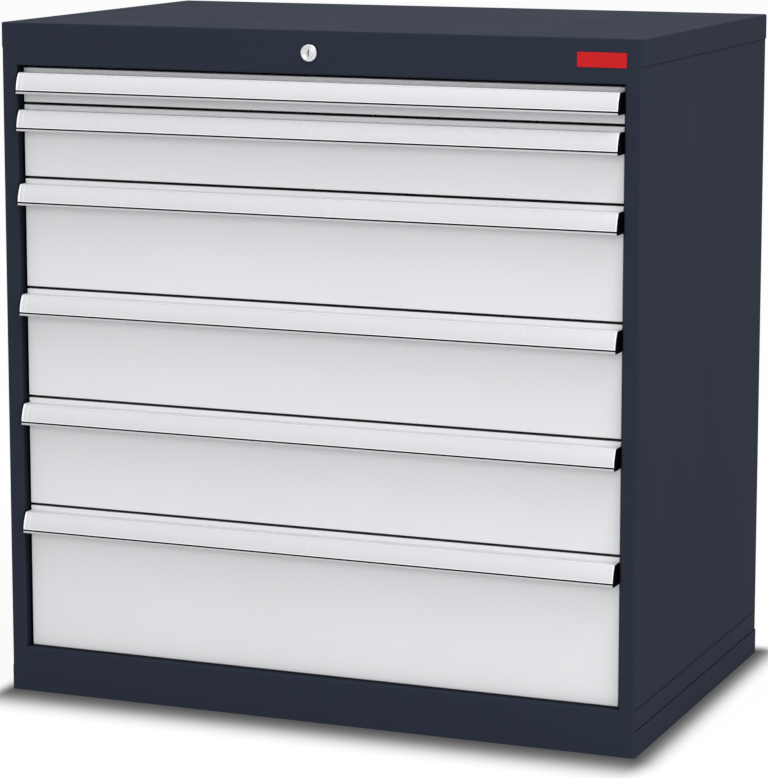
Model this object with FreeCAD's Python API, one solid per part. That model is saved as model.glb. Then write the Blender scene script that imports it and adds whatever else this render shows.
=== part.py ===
import FreeCAD, Part
import math
import os
from FreeCAD import Vector

# Drawer cabinet of folded sheet steel, with six drawers on extension slides and one lock.
# Millimetres. X to the right, the front faces -Y, Z up.
# The origin is on the floor, under the middle of the cabinet and its grips.

# Casing
cabinet_width = 900.0
cabinet_depth = 575.0
plinth_height = 62.0
fascia_height = 57.0
drawer_heights = (50.0, 100.0, 150.0, 150.0, 150.0, 200.0)
stile_width = 23.0
skirt_height = 34.0
skirt_sheet = 1.2
wall_sheet = 1.2
back_sheet = 1.2
corner_radius = 3.0
top_edge_radius = 2.0
stile_flange = 30.0
fascia_return = 20.0
foot_flange = 25.0
foot_sheet = 1.5
floor_height = 36.0
floor_sheet = 1.2

# Uprights that carry the slides
post_sheet = 1.5
post_width = 30.0
front_post_setback = 40.0
rail_past_rear_post = 11.0
post_hole = 8.0
post_hole_pitch = 25.0
tab_clearance = 0.5
tab_depth = 5.0

# Drawer fronts
front_recess = 12.5
front_depth = 18.0
front_sheet = 1.2
front_gap = 3.4
front_side_gap = 3.5
front_edge_radius = 1.5
front_rim = 12.0

# Grips, all across each front
grip_drop = 6.2
grip_height = 27.7
grip_reach = 25.0
grip_ledge = 17.0
grip_bow = 1.85
grip_lip = 2.8
grip_foot_radius = 1.0
grip_ledge_sheet = 2.0
grip_face_sheet = 1.8
grip_flange_height = 24.0
label_recess = 1.4
label_upper_lip = 1.2
label_groove = 1.3
label_sheet = 1.2
cap_thickness = 1.5

# Trays, with the room behind them for the catches and the locking bar
rear_room = 44.5
tray_sheet = 1.0
tray_lift = 8.0
tray_head_room = 8.0
rim_thickness = 2.4
rim_height = 5.0
slot_width = 3.0
slot_pitch = 50.0
slot_margin = 6.0

# Slides: a channel on the uprights, a bar with rollers, a channel on the tray
travel_kept_in = 20.0
rail_height = 32.0
rail_sheet = 1.8
rail_depth = 13.0
rail_lift = 22.0
rail_setback = 36.0
rail_past_tray = 10.0
carriage_short_of_tray = 20.0
carriage_bar_height = 24.0
carriage_bar_sheet = 2.0
rail_to_bar = 1.0
roller_clearance = 0.3
roller_to_web = 1.8
roller_end_margin = 17.0
roller_lead = 50.0

# Lock in the fascia, its long rod and the locking bar at the back
lock_drop = 29.0
lock_flange_radius = 10.0
lock_flange_proud = 3.0
lock_barrel_radius = 8.0
lock_barrel_length = 28.0
lock_plug_radius = 6.5
lock_fit = 0.05
lock_hole_clearance = 0.1
plug_sunk = 0.4
plug_tail = 1.0
key_slot_width = 1.8
key_slot_height = 9.0
key_slot_depth = 10.0
key_notch_width = 1.5
key_notch_height = 2.4
nut_radius = 11.5
nut_thickness = 4.0
rod_radius = 4.0
crank_radius = 11.0
crank_sheet = 3.0
crank_pin_radius = 2.5
crank_pin_overrun = 3.0
crank_slot_clearance = 0.4
crank_slot_play = 0.6
bar_travel = 10.0
bar_width = 20.0
bar_sheet = 2.0
bar_end_margin = 15.0
bar_head_height = 15.0
bar_head_reach = 16.0
bar_to_panel = 10.6
arm_width = 12.0
arm_sheet = 2.0
catch_reach = 24.0
catch_width = 20.0
catch_sheet = 2.0
catch_lift = 30.0
catch_pin_radius = 3.0
catch_pin_height = 10.0
catch_pin_setback = 16.0
catch_gap = 2.0
catch_clearance = 1.5
guide_height = 30.0
guide_wall = 4.0
guide_lip = 2.3
guide_lip_reach = 3.0
guide_clearance = 0.3
bearing_sheet = 2.5
bearing_half_width = 14.0
bearing_foot = 20.0
bearing_setback = 12.0

# Plate on the fascia, and the screws of the back panel
plate_width = 65.0
plate_height = 19.0
plate_sheet = 0.8
plate_side_margin = 21.0
plate_drop = 27.0
plate_corner = 1.0
screw_head_radius = 4.0
screw_radius = 2.0
screw_length = 8.0
screw_clearance = 0.15
screw_edge_margin = 11.0
screw_rows = 6

# Places worked out from the sizes above
half_width = cabinet_width / 2
cabinet_height = plinth_height + sum(drawer_heights) + fascia_height
casing_front = (grip_reach - front_recess - cabinet_depth) / 2
casing_back = casing_front + cabinet_depth
opening_half = half_width - stile_width
opening_top = cabinet_height - fascia_height
cap_bottom = cabinet_height - skirt_height
cover_underside = cabinet_height - skirt_sheet
wall_outer = half_width - skirt_sheet
wall_inner = wall_outer - wall_sheet
flat_half = wall_outer - corner_radius
rear_bend_radius = corner_radius - back_sheet
panel_outer = casing_back - skirt_sheet
panel_inner = panel_outer - back_sheet
front_face = casing_front + front_recess
front_half = opening_half - front_side_gap
tray_length = cabinet_depth - front_recess - front_depth - rear_room
tray_front = front_face + front_depth
tray_back = tray_front + tray_length
rail_front = casing_front + rail_setback
cabinet_rail_length = tray_length + rail_past_tray
carriage_length = tray_length - carriage_short_of_tray
drawer_travel = tray_length - travel_kept_in
rail_inner_half = rail_height / 2 - rail_sheet
bar_outer = opening_half - rail_depth - rail_to_bar
bar_inner = bar_outer - carriage_bar_sheet
tray_half = bar_inner - rail_to_bar - rail_depth
roller_radius = rail_inner_half - roller_clearance
carriage_travel = drawer_travel / 2
outer_roller_places = (carriage_travel + roller_lead, carriage_length - roller_end_margin)
inner_roller_places = (roller_end_margin, carriage_length - carriage_travel - roller_lead)
lock_height = cabinet_height - lock_drop
bar_rear = panel_inner - bar_to_panel
bar_front = bar_rear - bar_sheet
crank_throw = bar_travel / 2
catch_pin_y = tray_back + catch_pin_setback
bar_pin_y = catch_pin_y - 2 * catch_pin_radius - catch_gap
catch_top = catch_lift + catch_sheet + catch_pin_height
arm_lift = catch_top + bar_travel + catch_clearance
rear_post_front = rail_front + cabinet_rail_length - rail_past_rear_post - post_width
post_places = (casing_front + front_post_setback, rear_post_front)

SPARE = 1.0
RIGHT_SIDE = 1
LEFT_SIDE = -1


def drawer_floors():
    """The height of each drawer's module line, from the top drawer down."""
    floors = []
    level = opening_top
    for height in drawer_heights:
        level -= height
        floors.append(level)
    return floors


def box(x_range, y_range, z_range):
    size = [high - low for low, high in (x_range, y_range, z_range)]
    return Part.makeBox(*size, Vector(x_range[0], y_range[0], z_range[0]))


def both_ways(half):
    return (-half, half)


def cylinder(radius, length, base, direction):
    return Part.makeCylinder(radius, length, base, direction)


def mirrored(shape):
    return shape.mirror(Vector(0, 0, 0), Vector(1, 0, 0))


def on_side(side, shape):
    return shape if side == RIGHT_SIDE else mirrored(shape)


def plate_xz(points, y_range):
    """A flat plate with its outline in the XZ plane."""
    corners = [Vector(x, y_range[0], z) for x, z in points]
    outline = Part.makePolygon(corners + corners[:1])
    return Part.Face(outline).extrude(Vector(0, y_range[1] - y_range[0], 0))


def plate_xy(points, z_range):
    """A flat plate with its outline in the XY plane."""
    corners = [Vector(x, y, z_range[0]) for x, y in points]
    outline = Part.makePolygon(corners + corners[:1])
    return Part.Face(outline).extrude(Vector(0, 0, z_range[1] - z_range[0]))


def upright_edges(shape, places):
    """The vertical edges of a shape that stand at the given x, y places."""
    found = []
    for edge in shape.Edges:
        start, end = edge.Vertexes[0].Point, edge.Vertexes[-1].Point
        upright = abs(start.x - end.x) < 1e-6 and abs(start.y - end.y) < 1e-6
        if upright and any(math.hypot(start.x - x, start.y - y) < 1e-3 for x, y in places):
            found.append(edge)
    return found


def edges_in_plane(shape, axis, value):
    """The edges that lie wholly in the plane where the named coordinate has this value."""
    return [edge for edge in shape.Edges
            if all(abs(getattr(vertex.Point, axis) - value) < 1e-6 for vertex in edge.Vertexes)]


def write(name, *solids):
    """Writes one node: a single solid, or a group of separate solids."""
    shape = solids[0] if len(solids) == 1 else Part.makeCompound(list(solids))
    if not shape.isValid() or not shape.Solids:
        raise ValueError(name + " is not a sound solid")
    shape.exportStep("parts/" + name + ".step")
    print(name, len(shape.Solids), "solids", round(shape.Volume / 1000), "cm3")


def skirt_block(inset, z_range):
    """A block with the plan of the cap and the plinth, drawn in by the inset."""
    xs = both_ways(half_width - inset)
    ys = (casing_front + inset, casing_back - inset)
    block = box(xs, ys, z_range)
    corners = [(x, y) for x in xs for y in ys]
    return block.makeFillet(corner_radius + skirt_sheet - inset, upright_edges(block, corners))


def apron(outer_edge, inner_edge):
    """The part of the front between the stiles, with mitred ends."""
    points = [(-flat_half, outer_edge), (flat_half, outer_edge),
              (opening_half, inner_edge), (-opening_half, inner_edge)]
    return plate_xz(points, (casing_front, casing_front + skirt_sheet))


def lock_hole():
    radius = lock_barrel_radius + lock_hole_clearance
    start = Vector(0, casing_front - SPARE, lock_height)
    return cylinder(radius, skirt_sheet + 2 * SPARE, start, Vector(0, 1, 0))


def top_cover():
    """Lid with side and rear skirts, whose front is folded down as the fascia."""
    block = skirt_block(0, (cap_bottom, cabinet_height))
    block = block.makeFillet(top_edge_radius, edges_in_plane(block, "z", cabinet_height))
    shell = block.cut(skirt_block(skirt_sheet, (cap_bottom - SPARE, cover_underside)))
    lower_return = box(both_ways(opening_half), (casing_front, casing_front + fascia_return),
                       (opening_top, opening_top + skirt_sheet))
    shell = shell.fuse([apron(cap_bottom, opening_top), lower_return])
    return shell.cut(lock_hole()).removeSplitter()


def plan_corners(inset):
    """The corners of the casing's plan, in order, drawn in by the inset."""
    left, right = both_ways(half_width - inset)
    front, back = casing_front + inset, casing_back - inset
    return [(left, front), (right, front), (right, back), (left, back)]


def plinth_frame():
    """Ring of skirt strips and foot strips, mitred at the corners, and the rail under the drawers."""
    skirts = skirt_block(0, (0, skirt_height))
    skirts = skirts.cut(skirt_block(skirt_sheet, (-SPARE, skirt_height + SPARE)))
    skirts = skirts.fuse(apron(skirt_height, plinth_height)).removeSplitter()
    foot = skirt_block(skirt_sheet, (0, foot_sheet))
    foot = foot.cut(box(both_ways(half_width - foot_flange),
                        (casing_front + foot_flange, casing_back - foot_flange),
                        (-SPARE, foot_sheet + SPARE)))
    upper_return = box(both_ways(opening_half), (casing_front + skirt_sheet, casing_front + fascia_return),
                       (plinth_height - skirt_sheet, plinth_height))
    outside = plan_corners(-SPARE)
    inside = plan_corners(foot_flange + SPARE)
    strips = [upper_return]
    for start in range(len(outside)):
        end = (start + 1) % len(outside)
        wedge = [outside[start], outside[end], inside[end], inside[start]]
        quarter = plate_xy(wedge, (-SPARE, plinth_height + SPARE))
        strips += [skirts.common(quarter), foot.common(quarter)]
    return strips


def floor_panel():
    """Pan turned upside down, which stands on the foot strips: a sheet and its four edges."""
    xs = both_ways(wall_inner)
    ys = (casing_front + skirt_sheet, panel_inner - wall_sheet)
    block = box(xs, ys, (foot_sheet, floor_height))
    block = block.makeFillet(corner_radius, upright_edges(block, [(x, ys[0]) for x in xs]))
    hollow = box(both_ways(wall_inner - floor_sheet), (ys[0] + floor_sheet, ys[1] - floor_sheet),
                 (foot_sheet - SPARE, floor_height - floor_sheet))
    edge_zs = (foot_sheet, floor_height - floor_sheet)
    edges = block.cut(hollow).common(box(xs, ys, edge_zs))
    between = box(xs, (ys[0] + floor_sheet, ys[1] - floor_sheet), edge_zs)
    sheet = block.cut(box(xs, ys, edge_zs))
    return [sheet] + edges.common(between).Solids + edges.cut(between).Solids


def screw_places():
    """Where the screws of the back panel stand, as x, z."""
    x = wall_outer - screw_edge_margin
    low = skirt_height + screw_edge_margin
    step = (cap_bottom - screw_edge_margin - low) / (screw_rows - 1)
    return [(side * x, low + step * row) for side in (LEFT_SIDE, RIGHT_SIDE) for row in range(screw_rows)]


def screw_hole(x, z):
    start = Vector(x, panel_inner - wall_sheet - SPARE, z)
    length = wall_sheet + back_sheet + 2 * SPARE
    return cylinder(screw_radius + screw_clearance, length, start, Vector(0, 1, 0))


def back_screw(x, z):
    head = cylinder(screw_head_radius, skirt_sheet, Vector(x, panel_outer, z), Vector(0, 1, 0))
    shank = cylinder(screw_radius, screw_length, Vector(x, panel_outer - screw_length, z), Vector(0, 1, 0))
    return head.fuse(shank)


def back_panel():
    sheet = box(both_ways(flat_half), (panel_inner, panel_outer), (foot_sheet, cover_underside))
    return sheet.cut([screw_hole(x, z) for x, z in screw_places()])


def side_wall():
    """The right wall: a sheet, the stile in front of it and the strip that carries the back panel."""
    xs = (opening_half, wall_outer)
    ys = (casing_front, panel_inner)
    block = box(xs, ys, (foot_sheet, cover_underside))
    block = block.makeFillet(corner_radius, upright_edges(block, [(wall_outer, ys[0])]))
    block = block.makeFillet(rear_bend_radius, upright_edges(block, [(wall_outer, ys[1])]))
    hollow = box((opening_half - SPARE, wall_inner), (ys[0] + wall_sheet, ys[1] - wall_sheet),
                 (foot_sheet - SPARE, cover_underside + SPARE))
    inner_corner = upright_edges(hollow, [(wall_inner, ys[0] + wall_sheet)])
    hollow = hollow.makeFillet(corner_radius - wall_sheet, inner_corner)
    wall = block.cut(hollow)
    wall = wall.fuse(box((opening_half, opening_half + wall_sheet),
                         (casing_front, casing_front + stile_flange), (plinth_height, opening_top)))
    cuts = [screw_hole(x, z) for x, z in screw_places() if x > 0]
    bend_ys = (casing_front - SPARE, casing_front + corner_radius + skirt_sheet)
    return_ys = (casing_front - SPARE, casing_front + wall_sheet)
    for outer_edge, inner_edge, end in ((skirt_height, plinth_height, 0),
                                        (cap_bottom, opening_top, cabinet_height)):
        cuts.append(box((opening_half - SPARE, half_width), bend_ys, sorted((outer_edge, end))))
        mitre = [(opening_half, inner_edge), (flat_half, outer_edge), (opening_half, outer_edge)]
        cuts.append(plate_xz(mitre, return_ys))
    wall = wall.cut(cuts).removeSplitter()
    sheet_place = box((wall_inner, wall_outer), (bend_ys[1], panel_inner - wall_sheet), (0, cabinet_height))
    return wall.common(sheet_place).Solids + wall.cut(sheet_place).Solids


def rail_heights():
    return [floor + rail_lift for floor in drawer_floors()]


def post(y_start):
    """An upright channel against the right wall: a perforated web and its two flanges."""
    ys = (y_start, y_start + post_width)
    zs = (floor_height, cover_underside)
    web = box((opening_half, opening_half + post_sheet), ys, zs)
    flange_xs = (opening_half + post_sheet, wall_inner)
    flanges = [box(flange_xs, flange_ys, zs)
               for flange_ys in ((ys[0], ys[0] + post_sheet), (ys[1] - post_sheet, ys[1]))]
    middle = y_start + post_width / 2
    lowest = min(rail_heights())
    count = int((cover_underside - lowest - post_hole) / post_hole_pitch) + 1
    holes = []
    for step in range(count):
        level = lowest + step * post_hole_pitch
        holes.append(box((opening_half - SPARE, opening_half + post_sheet + SPARE),
                         (middle - post_hole / 2, middle + post_hole / 2),
                         (level - post_hole / 2, level + post_hole / 2)))
    return [web.cut(holes)] + flanges


def rail_channel(web_x, mouth_x, ys, level):
    """A channel with its web at one x and its mouth at the other."""
    outer = box(sorted((web_x, mouth_x)), ys, (level - rail_height / 2, level + rail_height / 2))
    inward = math.copysign(rail_sheet, mouth_x - web_x)
    beyond = math.copysign(SPARE, mouth_x - web_x)
    inside = box(sorted((web_x + inward, mouth_x + beyond)), (ys[0] - SPARE, ys[1] + SPARE),
                 both_ways(rail_inner_half))
    inside.translate(Vector(0, 0, level))
    return outer.cut(inside)


def cabinet_rail(level):
    """The fixed channel of the right slide, hooked into both uprights."""
    ys = (rail_front, rail_front + cabinet_rail_length)
    rail = rail_channel(opening_half, opening_half - rail_depth, ys, level)
    half_tab = post_hole / 2 - tab_clearance
    tabs = []
    for place in post_places:
        middle = place + post_width / 2
        tabs.append(box((opening_half - rail_sheet, opening_half + tab_depth),
                        (middle - half_tab, middle + half_tab), (level - half_tab, level + half_tab)))
    return rail.fuse(tabs).removeSplitter()


def carriage(level):
    """The bar between the two channels of the right slide, with rollers on both of its faces."""
    bar = box((bar_inner, bar_outer), (rail_front, rail_front + carriage_length),
              (level - carriage_bar_height / 2, level + carriage_bar_height / 2))
    width = rail_depth + rail_to_bar - rail_sheet - roller_to_web
    rollers = []
    for places, x_start in ((outer_roller_places, bar_outer), (inner_roller_places, bar_inner - width)):
        for place in places:
            start = Vector(x_start, rail_front + place, level)
            rollers.append(cylinder(roller_radius, width, start, Vector(1, 0, 0)))
    return [bar] + rollers


def runner(level):
    """The channel on the right side of a tray."""
    ys = (tray_front, tray_back)
    return rail_channel(tray_half, tray_half + rail_depth, ys, level)


def drawer_front(floor, height):
    """A hollow panel, folded from one sheet, with a window at the back that the tray covers."""
    zs = (floor, floor + height - front_gap)
    panel = box(both_ways(front_half), (front_face, tray_front), zs)
    panel = panel.makeFillet(front_edge_radius, edges_in_plane(panel, "y", front_face))
    hollow = box(both_ways(front_half - front_sheet),
                 (front_face + front_sheet, tray_front - front_sheet),
                 (zs[0] + front_sheet, zs[1] - front_sheet))
    window = box(both_ways(tray_half - front_rim), (front_face + front_sheet, tray_front + SPARE),
                 (zs[0] + front_rim, zs[1] - front_rim))
    return panel.cut([hollow, window])


def spaced(length, pitch):
    """Places with this pitch, centred on zero, that fit in the length."""
    count = int(length / pitch) + 1
    return [pitch * (step - (count - 1) / 2) for step in range(count)]


def tray(floor, height):
    """An open tub with a stiff rim and slots for partitions."""
    zs = (floor + tray_lift, floor + height - tray_head_room)
    ys = (tray_front, tray_back)
    tub = box(both_ways(tray_half), ys, zs)
    tub = tub.cut(box(both_ways(tray_half - rim_thickness), (ys[0] + rim_thickness, ys[1] - rim_thickness),
                      (zs[0] + tray_sheet, zs[1] + SPARE)))
    tub = tub.cut(box(both_ways(tray_half - tray_sheet), (ys[0] + tray_sheet, ys[1] - tray_sheet),
                      (zs[0] + tray_sheet, zs[1] - rim_height)))
    slot_zs = (zs[0] + tray_sheet + slot_margin, zs[1] - rim_height - slot_margin)
    middle = (ys[0] + ys[1]) / 2
    slots = []
    for place in spaced(tray_length - 2 * slot_pitch, slot_pitch):
        at = middle + place
        slots.append(box(both_ways(tray_half + SPARE), (at - slot_width / 2, at + slot_width / 2), slot_zs))
    for at in spaced(2 * tray_half - 2 * slot_pitch, slot_pitch):
        slots.append(box((at - slot_width / 2, at + slot_width / 2),
                         (ys[1] - rim_thickness - SPARE, ys[1] + SPARE), slot_zs))
    return tub.cut(slots)


def catch(floor):
    """The tongue behind a tray and the upright pin on it that the locking bar holds."""
    low = floor + catch_lift
    tongue = box(both_ways(catch_width / 2), (tray_back, tray_back + catch_reach), (low, low + catch_sheet))
    pin = cylinder(catch_pin_radius, catch_pin_height, Vector(0, catch_pin_y, low + catch_sheet),
                   Vector(0, 0, 1))
    return [tongue, pin]


# The grip's face is a shallow arc from the ledge's edge down to the lip at its foot.
face_drop = grip_height - grip_lip
half_chord = math.hypot(grip_reach - grip_ledge, face_drop) / 2
face_radius = (half_chord ** 2 + grip_bow ** 2) / (2 * grip_bow)
face_lean = math.atan2(grip_reach - grip_ledge, face_drop)
chord_to_centre = face_radius - grip_bow
centre_forward = (grip_ledge + grip_reach) / 2 - chord_to_centre * math.cos(face_lean)
centre_down = face_drop / 2 + chord_to_centre * math.sin(face_lean)
face_start = math.atan2(-centre_down, grip_ledge - centre_forward)
face_end = math.atan2(face_drop - centre_down, grip_reach - centre_forward)
face_length = face_radius * (face_end - face_start)


def on_face(along, inward=0.0):
    """A point measured along the grip's face and into it, as forward and down."""
    angle = face_start + along / face_radius
    radius = face_radius - inward
    return (centre_forward + radius * math.cos(angle), centre_down + radius * math.sin(angle))


def face_arc(start, end, inward=0.0):
    """A curved stretch of a profile, from one place along the face to another."""
    return (on_face(start, inward), on_face((start + end) / 2, inward), on_face(end, inward))


def straight(*points):
    """Straight stretches of a profile, from point to point."""
    return list(zip(points, points[1:]))


def grip_foot(inner_forward):
    """The lip below the face, with its round foot, back to the given depth."""
    slant = grip_foot_radius * (1 - math.sqrt(0.5))
    return straight(on_face(face_length), (grip_reach, grip_height - grip_foot_radius)) + [
        ((grip_reach, grip_height - grip_foot_radius), (grip_reach - slant, grip_height - slant),
         (grip_reach - grip_foot_radius, grip_height))] + straight(
        (grip_reach - grip_foot_radius, grip_height), (inner_forward, grip_height))


def grip_section(stretches, top, x_range):
    """A profile across the front, from stretches of two or three points, as forward and down."""
    edges = []
    for stretch in stretches:
        places = [Vector(x_range[0], front_face - forward, top - down) for forward, down in stretch]
        curve = Part.Arc(*places) if len(places) == 3 else Part.LineSegment(*places)
        edges.append(curve.toShape())
    return Part.Face(Part.Wire(edges)).extrude(Vector(x_range[1] - x_range[0], 0, 0))


def grip_top(floor, height):
    return floor + height - front_gap - grip_drop


def grip(floor, height):
    """Extrusion with a flange on the front, a ledge, and a face with a channel for labels."""
    wall = label_recess + grip_face_sheet
    under_ledge_angle = math.asin((grip_ledge_sheet - centre_down) / (face_radius - wall))
    under_ledge = face_radius * (under_ledge_angle - face_start)
    lip_inside = on_face(face_length, wall)
    stretches = straight((0, 0), on_face(0))
    stretches.append(face_arc(0, label_upper_lip))
    stretches += straight(on_face(label_upper_lip), on_face(label_upper_lip, label_recess))
    stretches.append(face_arc(label_upper_lip, face_length, label_recess))
    stretches += straight(on_face(face_length, label_recess), on_face(face_length))
    stretches += grip_foot(lip_inside[0])
    stretches += straight((lip_inside[0], grip_height), lip_inside)
    stretches.append(face_arc(face_length, under_ledge, wall))
    stretches += straight(on_face(under_ledge, wall), (grip_ledge_sheet, grip_ledge_sheet),
                          (grip_ledge_sheet, grip_flange_height), (0, grip_flange_height), (0, 0))
    half = front_half - cap_thickness
    return grip_section(stretches, grip_top(floor, height), both_ways(half))


def grip_cap(floor, height):
    """The right end cap, which closes the whole section."""
    stretches = straight((0, 0), on_face(0)) + [face_arc(0, face_length)]
    stretches += grip_foot(0) + straight((0, grip_height), (0, 0))
    return grip_section(stretches, grip_top(floor, height), (front_half - cap_thickness, front_half))


def label_strip(floor, height):
    """The bowed cover strip that sits in the channel of the grip's face."""
    half = front_half - cap_thickness
    outer = label_recess - label_sheet
    foot = face_length - label_groove
    stretches = straight(on_face(label_upper_lip, label_recess), on_face(label_upper_lip, outer))
    stretches.append(face_arc(label_upper_lip, foot, outer))
    stretches += straight(on_face(foot, outer), on_face(foot, label_recess))
    stretches.append(face_arc(foot, label_upper_lip, label_recess))
    return grip_section(stretches, grip_top(floor, height), both_ways(half))


def lock_axis(y, x=0.0, z=0.0):
    return Vector(x, y, lock_height + z)


def lock_housing():
    flange = cylinder(lock_flange_radius, lock_flange_proud, lock_axis(casing_front - lock_flange_proud),
                      Vector(0, 1, 0))
    barrel = cylinder(lock_barrel_radius, lock_barrel_length, lock_axis(casing_front), Vector(0, 1, 0))
    length = lock_flange_proud + lock_barrel_length + 2 * SPARE
    bore = cylinder(lock_plug_radius + lock_fit, length,
                    lock_axis(casing_front - lock_flange_proud - SPARE), Vector(0, 1, 0))
    return flange.fuse(barrel).cut(bore).removeSplitter()


def lock_nut():
    sides = 6
    points = []
    for side in range(sides):
        angle = 2 * math.pi * side / sides
        points.append((nut_radius * math.cos(angle), lock_height + nut_radius * math.sin(angle)))
    start = casing_front + skirt_sheet
    body = plate_xz(points, (start, start + nut_thickness))
    return body.cut(cylinder(lock_barrel_radius + lock_hole_clearance, nut_thickness + 2 * SPARE,
                             lock_axis(start - SPARE), Vector(0, 1, 0)))


plug_front = casing_front - lock_flange_proud + plug_sunk
plug_back = casing_front + lock_barrel_length + plug_tail


def lock_plug():
    body = cylinder(lock_plug_radius, plug_back - plug_front, lock_axis(plug_front), Vector(0, 1, 0))
    ys = (plug_front - SPARE, plug_front + key_slot_depth)
    slot = box(both_ways(key_slot_width / 2), ys, both_ways(key_slot_height / 2))
    notch = box((-key_slot_width / 2 - key_notch_width, 0), ys, both_ways(key_notch_height / 2))
    keyway = slot.fuse(notch)
    keyway.translate(Vector(0, 0, lock_height))
    return body.cut(keyway)


crank_back = bar_front - guide_clearance
crank_front = crank_back - crank_sheet


def lock_rod():
    """The long rod from the plug, with a disc and an eccentric pin at its back end."""
    rod = cylinder(rod_radius, crank_front - plug_back, lock_axis(plug_back), Vector(0, 1, 0))
    disc = cylinder(crank_radius, crank_sheet, lock_axis(crank_front), Vector(0, 1, 0))
    pin_length = bar_rear + crank_pin_overrun - crank_back
    pin = cylinder(crank_pin_radius, pin_length, lock_axis(crank_back, crank_throw, crank_throw),
                   Vector(0, 1, 0))
    return rod.fuse([disc, pin]).removeSplitter()


def locking_bar():
    """The strip behind the drawers, with an arm and a hanging pin for each of them."""
    floors = drawer_floors()
    head_top = lock_height + bar_head_height
    foot = min(floors) + arm_lift - bar_end_margin
    strip = box(both_ways(bar_width / 2), (bar_front, bar_rear), (foot, head_top))
    head = box((-bar_width / 2, bar_head_reach), (bar_front, bar_rear),
               (lock_height - bar_head_height, head_top))
    farthest = crank_throw * math.sqrt(2)
    slot = box((crank_throw - crank_pin_radius - crank_slot_play,
                farthest + crank_pin_radius + crank_slot_play),
               (bar_front - SPARE, bar_rear + SPARE), both_ways(crank_pin_radius + crank_slot_clearance))
    slot.translate(Vector(0, 0, lock_height + crank_throw))
    solids = [strip.fuse(head).cut(slot).removeSplitter()]
    for floor in floors:
        level = floor + arm_lift
        solids.append(box(both_ways(arm_width / 2), (bar_pin_y - catch_pin_radius, bar_front),
                          (level, level + arm_sheet)))
        low = floor + catch_top + catch_clearance
        solids.append(cylinder(catch_pin_radius, level - low, Vector(0, bar_pin_y, low), Vector(0, 0, 1)))
    return solids


def bar_guide(low):
    """A channel on the back panel that wraps round the edges of the strip."""
    half = bar_width / 2 + guide_clearance
    block = box(both_ways(half + guide_wall), (bar_front - guide_clearance - guide_lip, panel_inner),
                (low, low + guide_height))
    zs = (low - SPARE, low + guide_height + SPARE)
    track = box(both_ways(half), (bar_front - guide_clearance, bar_rear + guide_clearance), zs)
    mouth = box(both_ways(half - guide_lip_reach),
                (bar_front - guide_clearance - guide_lip - SPARE, bar_front), zs)
    return block.cut([track, mouth])


def guide_places():
    """Guides stand midway between arms: the highest, the middle and the lowest pair."""
    floors = drawer_floors()
    pairs = list(zip(floors, floors[1:]))
    places = []
    for upper, lower in (pairs[0], pairs[len(pairs) // 2], pairs[-1]):
        between = (upper + lower) / 2 + arm_lift - bar_travel / 2
        places.append(between - guide_height / 2)
    return places


def rod_bearing():
    """A bracket under the lid that carries the back end of the rod."""
    back = crank_front - bearing_setback
    front = back - bearing_sheet
    web = box(both_ways(bearing_half_width), (front, back),
              (lock_height - 2 * rod_radius, cover_underside))
    foot = box(both_ways(bearing_half_width), (back - bearing_foot, back),
               (cover_underside - bearing_sheet, cover_underside))
    bore = cylinder(rod_radius + lock_hole_clearance, bearing_sheet + 2 * SPARE,
                    lock_axis(front - SPARE), Vector(0, 1, 0))
    return web.fuse(foot).cut(bore).removeSplitter()


def name_plate():
    """A plain plate on the fascia, with nothing on it."""
    right = half_width - plate_side_margin
    middle = cabinet_height - plate_drop
    plate = box((right - plate_width, right), (casing_front - plate_sheet, casing_front),
                (middle - plate_height / 2, middle + plate_height / 2))
    depth_edges = [edge for edge in plate.Edges
                   if abs(edge.Vertexes[0].Point.y - edge.Vertexes[1].Point.y) > plate_sheet / 2]
    return plate.makeFillet(plate_corner, depth_edges)


os.makedirs("parts", exist_ok=True)

write("top_cover", top_cover())
write("plinth_frame", *plinth_frame())
write("floor_panel", *floor_panel())
write("back_panel", back_panel())
write("back_screws", *[back_screw(x, z) for x, z in screw_places()])
for side, side_name in ((LEFT_SIDE, "left"), (RIGHT_SIDE, "right")):
    write(side_name + "_side_wall", *[on_side(side, solid) for solid in side_wall()])
    write(side_name + "_cabinet_rails", *[on_side(side, cabinet_rail(level)) for level in rail_heights()])
for post_name, place in zip(("front", "rear"), post_places):
    right_post = post(place)
    write(post_name + "_posts", *right_post, *[mirrored(solid) for solid in right_post])
write("lock_housing", lock_housing())
write("lock_nut", lock_nut())
write("lock_guides", rod_bearing(), *[bar_guide(low) for low in guide_places()])
write("lock_plug", lock_plug())
write("lock_rod", lock_rod())
write("locking_bar", *locking_bar())
write("name_plate", name_plate())

for number, (floor, height) in enumerate(zip(drawer_floors(), drawer_heights), start=1):
    label = "drawer_" + str(number)
    right_carriage = carriage(floor + rail_lift)
    right_runner = runner(floor + rail_lift)
    right_cap = grip_cap(floor, height)
    write(label + "_tray", tray(floor, height), *catch(floor))
    write(label + "_front", drawer_front(floor, height))
    write(label + "_grip", grip(floor, height))
    write(label + "_grip_caps", right_cap, mirrored(right_cap))
    write(label + "_label_strip", label_strip(floor, height))
    write(label + "_runners", right_runner, mirrored(right_runner))
    write(label + "_carriage", *right_carriage, *[mirrored(solid) for solid in right_carriage])
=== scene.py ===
import math
import bmesh
import bpy
from mathutils import Matrix, Vector


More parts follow.
